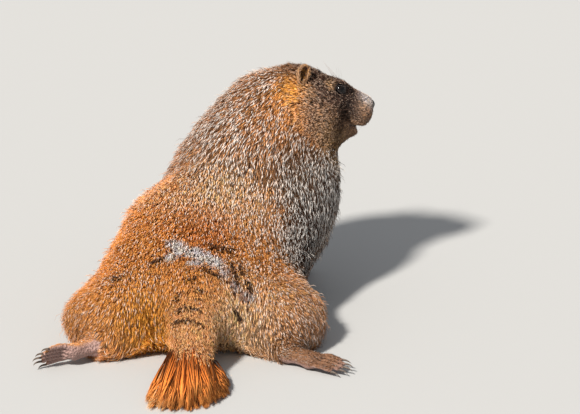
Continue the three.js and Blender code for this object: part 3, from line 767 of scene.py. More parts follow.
def ear(side):
    cup = primitive(add_ball, segments=28, ring_count=16, radius=1)
    bpy.ops.object.mode_set(mode="EDIT")
    bpy.ops.mesh.select_all(action="SELECT")
    bpy.ops.mesh.bisect(plane_co=(0, 0.3, 0), plane_no=(0.12, 1, 0.1), clear_outer=True)
    bpy.ops.object.mode_set(mode="OBJECT")
    cup.scale = EAR_SIZE
    bpy.ops.object.transform_apply(location=False, rotation=False, scale=True)
    in_fixed_order(cup)
    wall = cup.modifiers.new("wall", "SOLIDIFY")
    wall.thickness = EAR_WALL
    wall.offset = -1
    bpy.ops.object.modifier_apply(modifier="wall")
    smooth = cup.modifiers.new("smooth", "SUBSURF")
    smooth.levels = smooth.render_levels = 1
    bpy.ops.object.modifier_apply(modifier="smooth")
    shape = corners(cup.data)
    hollow = np.clip(1.25 - np.linalg.norm(shape / EAR_HOLLOW, axis=1) ** 6, 0, 1) * (shape[:, 1] < 1.6)
    pinch = np.clip(-shape[:, 2] / 10, 0, 1)
    shape[:, 0] *= 1 - 0.25 * pinch
    shape[:, 1] *= side
    ear_at = (EAR.x, side * (EAR.y - 0.4), EAR.z - (LEFT_EAR_DROP if side > 0 else 0))
    move_corners(cup.data, from_head(shape + ear_at))
    face_outwards(cup)
    count = len(cup.data.vertices)
    # painted shade: the skin of the ear's hollow is darkened, for the shade inside the cup
    tint = UMBER + (DARK * 0.7 - UMBER) * hollow[:, None]
    lie_out = np.array(HEAD.to_3x3()) @ np.array([-0.35, 0, 1.0])
    hairs = {"depth": 1.3, "length": 5.0, "width": 0.5, "density": 2.8, "owner": EARS}
    describe(
        cup.data,
        tint * 0.75,
        bare=hollow * 0.35,
        lie=np.tile(lie_out / np.linalg.norm(lie_out), (count, 1)),
        **{name: np.full(count, value) for name, value in hairs.items()},
    )
    return cup


ears = [ear(1), ear(-1)]
print("ears:", [len(piece.data.polygons) for piece in ears], "faces")

# %% [markdown]
# ## Lids
# The lids are soft dark rolls that follow the eyeball and leave an almond opening, with
# a second, flatter fold above for the upper lid's crease. Each starts as a torus, and
# its points are drawn into an almond and laid against the ball. Ears and lids are then
# joined to the skin, which takes its points' values from the mesh again.
# %% Model the lids
LIDS = len(FLESH) + 1
LID_TILT = 9
LID_COLOUR, FOLD_COLOUR = hair(34, 25, 23), hair(62, 44, 36)


def lid_ring(side, tall, wide_to, thick, out, lift, is_fold):
    add_ring = bpy.ops.mesh.primitive_torus_add
    ring = primitive(add_ring, major_segments=64, minor_segments=10, major_radius=1, minor_radius=thick)
    shape = corners(ring.data)
    turn = np.arctan2(shape[:, 1], shape[:, 0])
    x, y = np.cos(turn), np.sin(turn)
    off = np.stack([shape[:, 0] - x, shape[:, 1] - y, shape[:, 2]], 1)
    almond = np.stack([x * wide_to, y * tall * (1 - 0.16 * x**2)], 1)
    almond[:, 1] += lift - 0.5 * x
    away = np.sqrt(np.maximum((EYE_RADIUS + out) ** 2 - (almond**2).sum(1), 0.5))
    upper = np.clip(y + 0.25, 0, 1) if is_fold else np.ones(len(shape))
    off = off * (0.25 + 0.75 * upper)[:, None]
    ball = np.stack([almond[:, 0] + off[:, 0], away + off[:, 2], almond[:, 1] + off[:, 1]], 1)
    ball[:, 1] -= (1 - upper) * 1.6
    ball[:, 1] *= side
    tilt = math.radians(-side * LID_TILT)
    turned = np.array([[math.cos(tilt), -math.sin(tilt), 0], [math.sin(tilt), math.cos(tilt), 0], [0, 0, 1]])
    move_corners(ring.data, from_head(ball @ turned.T + (EYE.x, side * EYE.y, EYE.z)))
    face_outwards(ring)
    count = len(ring.data.vertices)
    hairs = {"bare": 1, "depth": 0, "length": 1, "width": 0.4, "density": 0, "owner": LIDS}
    describe(
        ring.data,
        np.tile(FOLD_COLOUR if is_fold else LID_COLOUR, (count, 1)),
        lie=np.tile([0.0, 0.0, 1.0], (count, 1)),
        **{name: np.full(count, value) for name, value in hairs.items()},
    )
    return ring


eyelids = []
for side in (1, -1):
    eyelids.append(lid_ring(side, tall=3.8, wide_to=5.1, thick=0.7, out=0.45, lift=0.5, is_fold=False))
    eyelids.append(lid_ring(side, tall=5.2, wide_to=6.2, thick=0.9, out=-0.1, lift=0.9, is_fold=True))
only(*ears, *eyelids, skin)
bpy.ops.object.join()
skin = bpy.context.object
skin.data.shade_smooth()
place = corners(skin.data)
skin.data.update()
normal = unit(normals_of(skin.data))
bare, depth, length = told(skin.data, "bare"), told(skin.data, "depth"), told(skin.data, "length")
width, density, lie = told(skin.data, "width"), told(skin.data, "density"), told(skin.data, "lie")
nearest = told(skin.data, "owner").round().astype(int)
for name in [*about_hair, "owner"]:
    skin.data.attributes.remove(skin.data.attributes[name])
print("skin with ears and lids:", len(triangles(skin.data)), "triangles")

# %% [markdown]
# ## Tufts
# A tuft is a thin closed blade with three sides: rings of three points along a bent
# line, and one point at its tip. All the tufts of a zone are made at once as arrays of
# numbers and go into one mesh. Each tuft also gets a tiny patch on the map OFBake, at
# its root's place on an unwrap of that zone.
# %% A mesh of many tufts
BLADE = np.array([[-0.5, -0.08], [0.5, -0.08], [0.0, 0.2]])  # across and out, in widths
PATCH = 0.003


def tuft_mesh(name, line, across, wide, colours, patch):
    """line and colours: tufts x rings x 3, across: tufts x 3, wide: tufts x rings."""
    count, rings = line.shape[:2]
    along = unit(line[:, -1] - line[:, 0])
    across = unit(across - along * (across * along).sum(1, keepdims=True))
    out = np.cross(across, along)
    sideways = across[:, None, None, :] * BLADE[None, None, :, :1]
    outwards = out[:, None, None, :] * BLADE[None, None, :, 1:]
    body = line[:, :-1, None, :] + wide[:, :-1, None, None] * (sideways + outwards)
    size = 3 * (rings - 1) + 1
    points = np.concatenate([body.reshape(count, -1, 3), line[:, -1:]], 1)
    faces = [[0, 2, 1]]
    for ring in range(rings - 2):
        for side in range(3):
            a, b = 3 * ring + side, 3 * ring + (side + 1) % 3
            faces += [[a, b, b + 3, a + 3]]
    last = 3 * (rings - 2)
    faces += [[last + side, last + (side + 1) % 3, size - 1] for side in range(3)]
    loops = np.array([corner for face in faces for corner in face], np.int32)
    sizes = np.array([len(face) for face in faces], np.int32)
    all_loops = (np.arange(count, dtype=np.int32)[:, None] * size + loops[None]).ravel()
    starts = np.concatenate([[0], np.cumsum(np.tile(sizes, count))[:-1]]).astype(np.int32)
    mesh = bpy.data.meshes.new(name)
    mesh.vertices.add(count * size)
    mesh.vertices.foreach_set("co", points.astype(np.float32).ravel())
    mesh.loops.add(len(all_loops))
    mesh.loops.foreach_set("vertex_index", all_loops)
    mesh.polygons.add(len(starts))
    mesh.polygons.foreach_set("loop_start", starts)
    mesh.update(calc_edges=True)
    tints = np.concatenate([np.repeat(colours[:, :-1], 3, axis=1), colours[:, -1:]], 1)
    paint(mesh, "hair_colour", tints.reshape(-1, 3))
    ring_of = np.append(np.repeat(np.arange(rings - 1), 3), rings - 1)
    side_of = np.append(np.tile([0.0, 1.0, 0.5], rings - 1), 0.5)
    offset = np.stack([(side_of - 0.5) * PATCH, (ring_of / (rings - 1) - 0.5) * PATCH], 1)
    spots = (patch[:, None, :] + offset[None]).reshape(-1, 2)
    layer = mesh.uv_layers.new(name="OFBake")
    layer.uv.foreach_set("vector", spots[all_loops].astype(np.float32).ravel())
    mesh.shade_smooth()
    piece = bpy.data.objects.new(name, mesh)
    bpy.context.collection.objects.link(piece)
    return piece, count * int((sizes - 2).sum())


# %% [markdown]
# ## Where the tufts grow
# Roots are drawn at random over the skin's triangles, more of them where the coat has
# more tufts, and few where the belly lies on the floor. The draw has a fixed seed, so
# that it comes out the same each time. Some of the tufts are guard hairs, more of them
# where the coat is grizzled.
# %% Draw the roots
SEED = 12
FINE_BELOW, SHORTEST_GUARD = 0.0095, 0.0042
dice = np.random.default_rng(SEED)
tris = triangles(skin.data)
tri_place = place[tris]
crossed = np.cross(tri_place[:, 1] - tri_place[:, 0], tri_place[:, 2] - tri_place[:, 0])
areas = np.linalg.norm(crossed, axis=1) / 2e-6
facing = unit(crossed)
low = (tri_place[:, :, 2].mean(1) < 0.004) & (facing[:, 2] < -0.6)
chance = areas * density[tris].mean(1) * np.clip(1.15 - bare[tris].mean(1) * 1.5, 0, 1)
chance[low] *= 0.06
count = int(chance.sum())
running = np.cumsum(chance) / chance.sum()
tri = np.searchsorted(running, (np.arange(count) + dice.random(count)) / count)
tri = np.minimum(tri, len(tris) - 1)
a, b = dice.random(count), dice.random(count)
flip = a + b > 1
a[flip], b[flip] = 1 - a[flip], 1 - b[flip]
parts = np.stack([1 - a - b, a, b], 1)


def at_roots(values):
    found = values[tris[tri]]
    return (found * parts.reshape(parts.shape + (1,) * (values.ndim - 1))).sum(1)


root = at_roots(place)
up = unit(at_roots(normal))
root_lie = at_roots(lie)
root_lie = unit(root_lie - up * (root_lie * up).sum(1, keepdims=True))
long = at_roots(length) * MM
wide = at_roots(width) * MM
deep = at_roots(depth) * MM
owner_node = nearest[tris[tri][:, 0]]
fine = long < FINE_BELOW
_, pale, dark = markings(root)
guard = (dice.random(count) < 0.1 + 0.38 * pale) & (long > SHORTEST_GUARD)
worn = worn_at(root)
on_top = root + up * deep[:, None]
# painted shade: the tufts in a crease are made short and near black, for the shade down in the parted coat
crease_shade = (creases_at(on_top) > 0.35) & (dice.random(count) < 0.95)
inside_ear = (owner_node == EARS) & (at_roots(bare) > 0.12)
print("roots:", count, "of them guard hairs:", int(guard.sum()))

# %% [markdown]
# ## Locks
# Neighbouring tufts lean towards each other and form locks. One root in every twelve or
# so leads a lock: the others near it bend their tips towards its tip, and share some of
# its tint and its height. Short broad tufts make the dense under coat, long thin ones
# the guard hair that stands a little prouder. In a crease the tufts are short and
# painted dark as shade, and those around it are pressed down, so that it lies open.
# %% Lead tufts and their followers
LEAD_SHARE = 0.085
CREASE_SHADE_LENGTH, CREASE_SHADE_WIDTH = 0.0042, 0.0012
skin_tree = BVHTree.FromPolygons(place.tolist(), tris.tolist())
sway = dice.normal(0, 0.2, count)
side_way = np.cross(up, root_lie)
way = unit(root_lie * np.cos(sway)[:, None] + side_way * np.sin(sway)[:, None])
long = long * np.where(guard, 0.95, np.where(fine, 0.9, 0.78)) * (0.75 + 0.5 * dice.random(count))
wide = wide * np.where(guard, 0.84, np.where(fine, 0.95, 1.15))
at_tip, at_middle = on_top + way * long[:, None], on_top + way * long[:, None] * 0.6
covers = np.maximum(creases_at(at_tip), creases_at(at_middle))
long = np.where(crease_shade, CREASE_SHADE_LENGTH, long * (1 - 0.35 * worn) * (1 - 0.5 * covers))
wide = np.where(crease_shade, CREASE_SHADE_WIDTH, wide)

leads = np.flatnonzero(dice.random(count) < LEAD_SHARE)
lead_tree = kdtree.KDTree(len(leads))
for number, lead in enumerate(leads):
    lead_tree.insert(root[lead], number)
lead_tree.balance()
follows = leads[np.array([lead_tree.find(p)[1] for p in root.tolist()])]
rise = 0.6 + 0.8 * dice.random(count)
rise = (rise * 0.5 + rise[follows] * 0.5) * np.where(guard, 1.15, 0.92)
rise = np.where(dice.random(count) < 0.04, rise * 1.6, rise)
rise = np.where(crease_shade, 1.7, rise)


def hug(points):
    found = [skin_tree.find_nearest(p)[:2] for p in points.tolist()]
    return np.array([f[0] for f in found]), np.array([f[1] for f in found])


tip, tip_up = hug(root + way * long[:, None])
goal = tip[follows] + (dice.random((count, 3)) - 0.5) * 0.0016
near = np.linalg.norm(root - root[follows], axis=1) < 0.9 * long
pull = np.where(near, np.where(guard, 0.25, 0.45), 0.0) + 0.35 * worn * near
tip = tip + (goal - tip) * pull[:, None]
pressed = np.clip(creases_at(tip) + creases_at(root * 0.34 + tip * 0.66), 0, 1) * ~crease_shade
rise = rise * (1 - 0.8 * pressed)
tip_end = tip + unit(tip_up) * (deep * rise)[:, None]
half = (root * 0.34 + tip * 0.66) + unit(up + tip_up) * (deep * rise * 0.85 + long * 0.02)[:, None]
start = root - up * 0.0005
line = np.stack([start, half, tip_end], 1)
line[:, :, 2] = np.maximum(line[:, :, 2], 0.0004)
print("locks:", len(leads))

# %% [markdown]
# ## Tints
# Each tuft is darker at its root. Its middle and its tip take the map's colour at the
# very places where they lie, so a marking keeps its edge however long the hair is. Some
# tufts have pale tips and some are dark all over, and the two make the grizzle.
# %% Tint the tufts
EAR_INSIDE, EAR_OUTSIDE = hair(214, 150, 70), hair(226, 180, 138)
FACE_CREAM = CREAM * (0.8, 0.58, 0.45)
face = np.isin(owner_node, [FLESH.index(name) for name in ("head", "lower_jaw", "nose_pad")])
tone = 1 + (dice.random(count) - 0.5) * np.where(face, 1.2, 0.6)
tone = tone * 0.45 + tone[follows] * 0.55 + (dice.random(count) - 0.5) * 0.2
warm = 1 + (dice.random(count)[follows] - 0.5)[:, None] * np.array([[0.08, 0.0, -0.3]])
root_colour, pale, dark = markings(root)
half_colour, _, _ = markings(half)
tip_colour, _, _ = markings(tip_end)
kind = dice.random(count)
weight = np.where(guard, 1.3, np.where(fine, 0.6, 0.3))
is_pale = kind < pale * 0.8 * weight
is_dark = kind > 1 - dark * 0.8 * weight
vary = tone[:, None] * warm
root_tint = root_colour * vary * (0.48 - 0.5 * pale - 0.12 * face)[:, None]
half_tint = half_colour * vary * np.where(is_dark, 0.2, 0.98)[:, None]
tip_tint = tip_colour * vary * np.where(is_dark, 0.35, 1.15)[:, None]
cream = (0.82 + 0.18 * dice.random(count))[:, None] * np.where(face[:, None], FACE_CREAM, CREAM)
share = np.where(face, 0.2, np.clip(0.05 + 1.2 * pale, 0.2, 0.6))[:, None]
half_tint = np.where(is_pale[:, None], half_tint * (0.9 - share) + cream * share, half_tint)
tip_tint = np.where(is_pale[:, None], cream, tip_tint)
on_ear = owner_node == EARS
ear_tint = np.where(inside_ear[:, None], EAR_INSIDE, EAR_OUTSIDE)
ear_tint = ear_tint * (0.3 + 0.95 * dice.random(count))[:, None]
half_tint = np.where(on_ear[:, None], ear_tint * 0.8, half_tint)
tip_tint = np.where(on_ear[:, None], ear_tint * 1.1, tip_tint)
# painted shade: tufts in a crease take SOOT, for the shade in the gap
half_tint = np.where(crease_shade[:, None], SOOT, half_tint)
tip_tint = np.where(crease_shade[:, None], SOOT * 1.5, tip_tint)
tints = np.clip(np.stack([root_tint, half_tint, tip_tint], 1), 0, 1)
broader = wide * np.where(is_pale & guard & ~face, 1.3, 1.0)
rings = np.stack([wide * np.where(guard, 0.6, 1.0), broader, wide * 0.1], 1)
print("pale tips:", int(is_pale.sum()), "dark hairs:", int(is_dark.sum()))

# %% [markdown]
# ## Finishes of the coat and the skin
# Both read the colour attribute, and fine noise on top breaks it up. The bare skin also
# has the creases and pebbles of leather, which fade out under the fur.
# %% Materials of the coat and the skin
def material(name, roughness):
    made = bpy.data.materials.new(name)
    made.use_nodes = True
    shader = made.node_tree.nodes["Principled BSDF"]
    shader.inputs["Roughness"].default_value = roughness
    return made, made.node_tree, shader


def node(tree, kind, **settings):
    made = tree.nodes.new(kind)
    for name, value in settings.items():
        if name in made.inputs:
            made.inputs[name].default_value = value
        else:
            setattr(made, name, value)
    return made


def pattern(tree, kind, **settings):
    """A texture that reads the piece's own Object coordinates."""
    places = node(tree, "ShaderNodeTexCoord")
    made = node(tree, kind, **settings)
    tree.links.new(places.outputs["Object"], made.inputs["Vector"])
    return made


def raised(tree, shader, height, strength, distance):
    bump = node(tree, "ShaderNodeBump", Strength=strength, Distance=distance)
    tree.links.new(height, bump.inputs["Height"])
    tree.links.new(bump.outputs["Normal"], shader.inputs["Normal"])


def tinted(tree, shader, height, low, high):
    """The painted colour, made lighter and darker by a pattern, into the shader."""
    colour_node = node(tree, "ShaderNodeVertexColor", layer_name="hair_colour")
    levels = node(tree, "ShaderNodeMapRange")
    levels.inputs["To Min"].default_value = low
    levels.inputs["To Max"].default_value = high
    tree.links.new(height, levels.inputs["Value"])
    shade = node(tree, "ShaderNodeVectorMath", operation="SCALE")
    tree.links.new(colour_node.outputs["Color"], shade.inputs[0])
    tree.links.new(levels.outputs["Result"], shade.inputs["Scale"])
    tree.links.new(shade.outputs["Vector"], shader.inputs["Base Color"])


coat_material, tree, shader = material("marmot_coat", 0.5)
shader.inputs["Specular IOR Level"].default_value = 0.22
speck = pattern(tree, "ShaderNodeTexNoise", Scale=420.0, Detail=2.0)
tinted(tree, shader, speck.outputs["Fac"], 0.75, 1.25)

skin_material, tree, shader = material("marmot_skin", 0.58)
grain = pattern(tree, "ShaderNodeTexNoise", Scale=650.0, Detail=4.0)
tinted(tree, shader, grain.outputs["Fac"], 0.45, 1.5)
crease = pattern(tree, "ShaderNodeTexVoronoi", Scale=380.0)
leather = node(tree, "ShaderNodeAttribute", attribute_name="bare")
creased = node(tree, "ShaderNodeMath", operation="MULTIPLY")
tree.links.new(crease.outputs["Distance"], creased.inputs[0])
tree.links.new(leather.outputs["Fac"], creased.inputs[1])
added = node(tree, "ShaderNodeMath", operation="ADD")
tree.links.new(grain.outputs["Fac"], added.inputs[0])
tree.links.new(creased.outputs["Value"], added.inputs[1])
raised(tree, shader, added.outputs["Value"], strength=1.0, distance=0.0016)
skin.data.materials.append(skin_material)
print("materials:", coat_material.name, skin_material.name)

# %% [markdown]
# ## The coat, zone by zone
# The coat is divided into pieces of fewer than 200,000 triangles. A tuft of the under
# coat has one ring and a tip, 4 triangles in all, and a guard hair has a second ring that
# bends it, 10 in all. Each piece has its own unwrap: the angle round an axis through that
# zone, and the way along the axis.
# %% Cut the coat into zones
LEGS = [f"{part}_{side}" for part in ("shank", "hind_foot", "forepaw") for side in SIDES]
ARMS = [f"{part}_{side}" for part in ("upper_arm", "forearm") for side in SIDES]
ZONES = {  # nodes and the axis through the zone on the plan
    "coat_head": (["head", "lower_jaw", "nose_pad"], (110, 262, 190), (0.9, 0.2, -0.3)),
    "coat_neck": (["neck"], (70, 235, 160), (0.42, 0.56, 0.7)),
    "coat_chest": (["chest"], (60, 226, 100), (0, 0.1, 1)),
    "coat_torso": (["torso"], (8, 140, 60), (0.1, 1, 0.1)),
    "coat_rump": (["rump", "tail_root"], (0, 60, 30), (0, -1, 0)),
    "coat_haunch_left": (["thigh_left"], (-90, 60, 20), (0, 1, 0)),
    "coat_haunch_right": (["thigh_right"], (90, 60, 20), (0, 1, 0)),
    "coat_arms": (ARMS, (50, 240, 60), (0, 0, 1)),
    "coat_feet": (LEGS, (0, 60, 0), (0, 0, 1)),
    "coat_ears": ([], (105, 270, 225), (-0.3, 1, -0.2)),
}
LAYERS = {"": ([0, 2], 36000), "_guard": ([0, 1, 2], 19000)}  # points of the line, most tufts
coat_pieces = []


def unwrap(points, through, axis):
    """Angle round the axis and way along it, both spread over the unit square."""
    axis = np.array(axis, float) / np.linalg.norm(axis)
    away = to_plan(points) - np.array(through, float)
    first_way = unit(np.cross(axis, np.array([[0.3, 0.2, 1.0]])))[0]
    around = np.arctan2(away @ np.cross(axis, first_way), away @ first_way)
    found = np.stack([around, away @ axis], 1)
    low, high = found.min(0), found.max(0)
    return 0.01 + 0.98 * (found - low) / np.maximum(high - low, 1e-9)


total = 0
for zone, (nodes, through, axis) in ZONES.items():
    of_zone = np.isin(owner_node, [FLESH.index(n) for n in nodes] or [EARS])
    for layer, (rows, most) in LAYERS.items():
        own = np.flatnonzero(of_zone & (guard if layer else ~guard))
        order = np.argsort(unwrap(root[own], through, axis)[:, 1], kind="stable")
        pieces = math.ceil(len(own) / most)
        for number, share in enumerate(np.array_split(order, pieces)):
            which = own[share]
            name = zone + layer + (f"_{number + 1}" if pieces > 1 else "")
            path, broad, colours = line[which][:, rows], rings[which][:, rows], tints[which][:, rows]
            if not layer:
                colours[:, 0] = colours[:, 0] * 0.4 + tints[which][:, 1] * 0.6
            patch = unwrap(root[which], through, axis)
            piece, made = tuft_mesh(name, path, side_way[which], broad, colours, patch)
            piece.data.materials.append(coat_material)
            coat_pieces.append(piece)
            total += made
            print(name, len(which), "tufts,", made, "triangles")

# %% [markdown]
# ## The tail's brush
# The brush is a fan of long coarse hair that spreads over the floor from the end of the
# tail. Every hair runs from the core to the rim of the fan, and bends towards the lead
# hair of its lock, so that the rim ends in ragged points as the real one does. The hairs
# are russet, with some buff ones at the left corner. They are painted dark at the core
# and in streaks, as shade between the locks, and their tips are painted lighter, as
# sunlit hair glows.
# %% Grow the brush
HALF_WIDTH, BRUSH_START, BRUSH_END = 44, -46, -143
TAIL_MIDDLE = -5
BRUSH_LOCK = 60  # hairs
# painted light: a golden tone mixed into the tips, for sunlit hair that glows
PAINTED_TIP_GLOW = hair(255, 190, 110)
brush_count = 7000
height = dice.random(brush_count)
side = np.clip(dice.normal(0, 0.55, brush_count), -1, 1)
reach = 1.0 - 0.36 * height**1.3 * dice.random(brush_count) - 0.32 * dice.random(brush_count) ** 2
back = dice.random(brush_count)
dome = np.sqrt(np.maximum(1 - (side / 1.06) ** 2, 0))
x = TAIL_MIDDLE + side * (24 - 2 * height) * (1 - 0.5 * back)
start = np.stack([x, -18 - 52 * back, 4 + 38 * height * dome * (1 - 0.32 * back)], 1)
shorter = 0.04 * np.abs(side) + 0.4 * np.clip(side, 0, 1) ** 2
x = TAIL_MIDDLE + side * HALF_WIDTH * (0.88 + 0.14 * dice.random(brush_count))
y = BRUSH_START + (BRUSH_END - BRUSH_START) * reach * (1 - shorter)
end = np.stack([x, y, 1.5 + 14 * height * dice.random(brush_count)], 1)
leads = np.arange(0, brush_count, BRUSH_LOCK)
end[leads, 1] += dice.normal(0, 9, len(leads))
key_at = np.stack([side * 1.5, height], 1)
follows = leads[((key_at[:, None] - key_at[leads][None]) ** 2).sum(2).argmin(1)]
end = end + (end[follows] - end) * (0.35 + 0.5 * dice.random(brush_count))[:, None]
steps = np.array([0, 0.35, 0.7, 1.0])
path = start[:, None] + (end - start)[:, None] * steps[None, :, None]
bulge = np.sin(steps * np.pi)[None, :]
path[:, :, 0] += (end - start)[:, :1] * (steps**1.35 - steps)[None]
path[:, :, 0] += bulge * dice.normal(0, 2.0, brush_count)[:, None]
path[:, :, 2] += bulge * (1 + 4 * height + dice.normal(0, 1.2, brush_count))[:, None]
path[:, :, 2] = np.maximum(path[:, :, 2], 0.8)
path = path * MM + SHIFT
lock_tone = dice.random(brush_count)[follows]
body = RUSSET * (0.62 + 0.6 * lock_tone + 0.3 * dice.random(brush_count))[:, None]
# painted shade: streaks of hair, whole dark locks and a band near the right edge are darkened, for the shade
# between the locks
shade_share = 0.28 + 0.35 * (np.abs(side - 0.8) < 0.2) + 0.3 * (lock_tone < 0.15)
shade_streak = (dice.random(brush_count) < shade_share)[:, None]
body = np.where(shade_streak, body * 0.34, body)
buff = (np.clip((-side - 0.5) * 5, 0, 1) * (height < 0.7) * (dice.random(brush_count) < 0.55))[:, None]
body = body + (BUFF * 0.9 - body) * buff
body_tip = np.where(shade_streak, body * 1.5, body * 0.5 + PAINTED_TIP_GLOW * 0.5)
# painted shade: near the core the hair is darkened, and more so where it starts close to the tail
shaded_root_tint = body * np.array([[0.3, 0.22, 0.2]])
shaded_core_tint = body * np.array([[1.0, 0.86, 0.8]]) * (0.36 + 0.4 * back)[:, None]
brush_tints = np.clip(np.stack([shaded_root_tint, shaded_core_tint, body * 1.1, body_tip], 1), 0, 1)
thickness = (0.7 + 0.6 * dice.random(brush_count))[:, None]
broad = np.tile([0.0008, 0.0012, 0.001, 0.0001], (brush_count, 1)) * thickness
across = np.tile([[1.0, 0.0, 0.0]], (brush_count, 1))
patch = np.stack([0.5 + side * 0.44, 0.02 + 0.96 * height], 1)
brush, made = tuft_mesh("coat_tail_brush", path, across, broad, brush_tints, patch)
brush.data.materials.append(coat_material)
coat_pieces.append(brush)
total += made
print("brush:", made, "triangles; the coat in all:", total)

# %% [markdown]
# ## Whiskers
# Stiff whiskers grow in rows from the pads beside the nose, with a few over each eye.
# They are single long tufts, dark at the root and paler outside, that taper to nothing
# and bend back and down. A ray from each bow to the head finds the skin it grows from.
# %% Set the whiskers
WHISKER_ROWS, IN_A_ROW, OVER_THE_EYE = 4, 5, 3
WHISKER_HALF_WIDTH = 0.00042
whisker_start, whisker_end, whisker_bow = [], [], []
for flank in (1, -1):
    for row in range(WHISKER_ROWS):
        for place_in_row in range(IN_A_ROW):
            x, z = -7 - place_in_row * 4.2, -9 - row * 4.0 - place_in_row * 0.5
            reach = 15 + place_in_row * 5 + dice.random() * 5
            droop = 5 + row * 3 + dice.random() * 4
            whisker_start.append((x, flank * 6, z))
            whisker_bow.append((x - reach * 0.25, flank * (20 + reach * 0.35), z - 2 - row))
            whisker_end.append((x - reach * 0.75, flank * (20 + reach * 0.75), z - droop))
    for number in range(OVER_THE_EYE):
        whisker_start.append((EYE.x - 2 + number * 3, flank * 12, 12))
        whisker_bow.append((EYE.x - 6 + number * 2, flank * 18, 22))
        whisker_end.append((EYE.x - 16 + number * 3, flank * (22 + number * 2), 31 - number * 2))

begins, bows, ends = from_head(whisker_start), from_head(whisker_bow), from_head(whisker_end)
inner = from_head([(x, 0, z) for x, _, z in whisker_start])
for number, (p, q) in enumerate(zip(inner, bows)):
    hit = skin_tree.ray_cast(q, Vector(p - q))[0]
    begins[number] = hit if hit else begins[number]
steps = np.linspace(0, 1, 6)[None, :, None]
path = (1 - steps) ** 2 * begins[:, None] + 2 * steps * (1 - steps) * bows[:, None] + steps**2 * ends[:, None]
whisker_count = len(path)
thick = np.tile(np.linspace(1, 0.05, 6), (whisker_count, 1)) * WHISKER_HALF_WIDTH
shade = np.tile(hair(60, 44, 36), (whisker_count, 6, 1)) * np.linspace(0.8, 7.0, 6)[None, :, None]
along = np.linspace(0.02, 0.98, whisker_count)
across = np.tile([[0.0, 0.0, 1.0]], (whisker_count, 1))
whiskers, made = tuft_mesh("whiskers", path, across, thick, shade, np.stack([along, along], 1))
whiskers.data.materials.append(coat_material)
coat_pieces.append(whiskers)
print("whiskers:", whisker_count)

# %% [markdown]
# ## Eyes
# The eyes are nearly black, with a brown ring that shows only up close. A ball is swollen
# a little at the front, as a cornea is, and is smooth enough to look wet.
# %% Model the eyes
PUPIL, IRIS = hair(8, 8, 9), hair(26, 18, 14)
eye_material, tree, shader = material("dark_eye", 0.03)
shader.inputs["Specular IOR Level"].default_value = 0.22
iris = node(tree, "ShaderNodeVertexColor", layer_name="iris")
tree.links.new(iris.outputs["Color"], shader.inputs["Base Color"])
for name, side in (("left", 1), ("right", -1)):
    ball = primitive(add_ball, segments=64, ring_count=40, radius=EYE_RADIUS)
    ball.name = f"eyeball_{name}"
    shape = corners(ball.data)
    out = unit(np.array([[0.25, side * 1.0, 0.05]]))[0]
    front = shape @ out / EYE_RADIUS
    shape = shape + out * (np.clip(front - 0.3, 0, 1) ** 2 * 1.2)[:, None]
    ring = np.clip(1 - np.abs(front - 0.86) / 0.1, 0, 1)
    paint(ball.data, "iris", PUPIL + (IRIS - PUPIL) * ring[:, None])
    move_corners(ball.data, from_head(shape + (EYE.x, side * EYE.y, EYE.z)))
    ball.data.shade_smooth()
    ball.data.materials.append(eye_material)
    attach(ball, "root")
    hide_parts(f"eye_{name}")
print("eyes at", [tuple(round(c, 3) for c in middle(f"eye_{s}")) for s in SIDES])

# %% [markdown]
# ## Nose
# The nose pad is bare, dark and pebbled, with a comma-shaped nostril on each side and a
# cleft down its middle.
# %% Model the nose
NOSE_SIZE, NOSE_AT = (5.8, 7.8, 6.8), (-3.0, 0, -3.4)
NOSTRIL = (  # place, size and depth of the three dents that make its comma
    ((4.6, 3.2, -0.6), 1.7, 2.2),
    ((3.4, 5.2, 0.2), 1.5, 1.8),
    ((1.6, 6.4, 1.4), 1.1, 1.0),
)
nose_material, tree, shader = material("nose_leather", 0.38)
shader.inputs["Base Color"].default_value = (0.022, 0.017, 0.016, 1)
pebble = pattern(tree, "ShaderNodeTexVoronoi", Scale=1400.0)
raised(tree, shader, pebble.outputs["Distance"], strength=0.6, distance=0.0003)
nose = primitive(add_ball, segments=64, ring_count=48, radius=1)
nose.name = "nose"
shape = corners(nose.data) * NOSE_SIZE
shape[:, 1] *= 1 - 0.25 * np.clip(-shape[:, 2] / 6.6, 0, 1)
for side in (1, -1):
    for (x, y, z), size, sink in NOSTRIL:
        near = np.exp(-(((shape - (x, side * y, z)) ** 2).sum(1)) / size**2)
        shape -= near[:, None] * np.array([0.85, side * 0.45, 0]) * sink
cleft = np.exp(-((shape[:, 1] / 0.7) ** 2)) * np.clip((1.5 - shape[:, 2]) / 3, 0, 1) * (shape[:, 0] > 0)
shape[:, 0] -= cleft * 0.9
move_corners(nose.data, from_head(shape + NOSE_AT))
nose.data.shade_smooth()
nose.data.materials.append(nose_material)
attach(nose, "root")
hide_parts("nose_pad")
print("nose:", len(nose.data.polygons), "faces")

# %% [markdown]
# ## Claws
# The claws are dark horn, curved and flat at the sides. Each starts as a cylinder and is
# drawn along a bent line to a point, and it takes the place of that toe's plain claw.
# %% Model the claws
CLAW_GIRTH = 1.35
CLAW_REACH = {"hind": 5.5, "fore": 9}
TOE_SHARES = {"hind": (0.78, 0.95, 1, 0.95, 0.8), "fore": (0.85, 1, 0.98, 0.82)}
claw_material, tree, shader = material("claw_horn", 0.62)
grain = pattern(tree, "ShaderNodeTexNoise", Scale=700.0, Detail=3.0)
horn = node(tree, "ShaderNodeValToRGB")
horn.color_ramp.elements[0].position = 0.35
horn.color_ramp.elements[0].color = (0.07, 0.05, 0.04, 1)
horn.color_ramp.elements[1].position = 0.75
horn.color_ramp.elements[1].color = (0.2, 0.15, 0.115, 1)
tree.links.new(grain.outputs["Fac"], horn.inputs["Fac"])
tree.links.new(horn.outputs["Color"], shader.inputs["Base Color"])


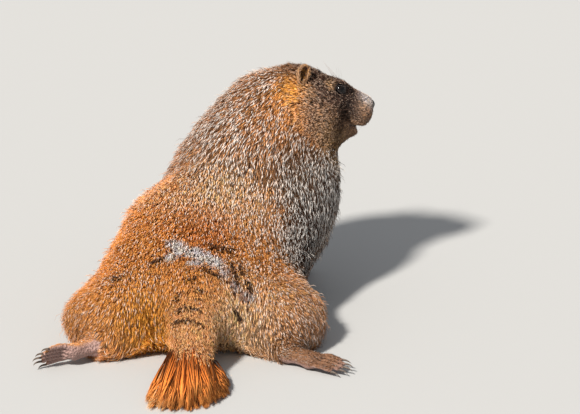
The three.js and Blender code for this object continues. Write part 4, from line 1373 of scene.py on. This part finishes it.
def claw(name, base, bend, end, back):
    add_rod = bpy.ops.mesh.primitive_cylinder_add
    piece = primitive(add_rod, vertices=14, radius=1, depth=1, end_fill_type="TRIFAN")
    piece.name = name
    bpy.ops.object.mode_set(mode="EDIT")
    bpy.ops.mesh.select_all(action="SELECT")
    bpy.ops.mesh.subdivide(number_cuts=6)
    bpy.ops.object.mode_set(mode="OBJECT")
    shape = corners(piece.data)
    t = (shape[:, 2] + 0.5)[:, None]
    line = (1 - t) ** 2 * base + 2 * t * (1 - t) * bend + t**2 * end
    along = unit(2 * (1 - t) * (bend - base) + 2 * t * (end - bend))
    side = unit(np.cross(along, back))
    out = np.cross(side, along)
    girth = (CLAW_GIRTH * (1 - t**1.3) + 0.06) * MM
    move_corners(piece.data, line + side * shape[:, :1] * girth * 0.72 + out * shape[:, 1:2] * girth)
    piece.data.shade_smooth()
    return piece


claw_count = 0
for foot, (_, _, _, _, toe_start, whole_length, _) in FEET.items():
    lead, own_side = foot[:4], foot.rsplit("_", 1)[1]
    reach = CLAW_REACH[lead]
    back = unit(np.array(foot_frame(foot))[:3, 2][None])[0]
    for number, (share, y) in enumerate(zip(TOE_SHARES[lead], toe_rows(foot))):
        tip_x = toe_start + share * (whole_length - toe_start)
        ends = np.array([
            [tip_x - 5, y * 1.12, 6.4],
            [tip_x + reach * 0.55, y * 1.16, 7.2],
            [tip_x + reach, y * 1.22, 2.4],
        ])
        piece = claw(f"horn_{lead}_{own_side}_{number + 1}", *moved(ends, foot_frame(foot)), back)
        piece.data.materials.append(claw_material)
        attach(piece, "root")
        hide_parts(f"{lead}_claw_{own_side}_{number + 1}")
        claw_count += 1
print("claws:", claw_count)

# %% [markdown]
# ## Everything rides on the root
# The skin stands for all the nodes of flesh, and the brush of tufts stands for the
# solids' tail brush. Then the two boxes are compared.
# %% Hand the pieces over
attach(skin, "root")
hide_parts(*[n for n in FLESH if n != "nose_pad"], "ear_left", "ear_right")
for piece in coat_pieces:
    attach(piece, "root")
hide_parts("tail_brush")
visual_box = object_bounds()
over = [round((seen - solid) / MM, 1) for seen, solid in zip(visual_box[1], cad_box[1])]
under = [round((solid - seen) / MM, 1) for seen, solid in zip(visual_box[0], cad_box[0])]
print("over the solids' box by (mm):", over, under)
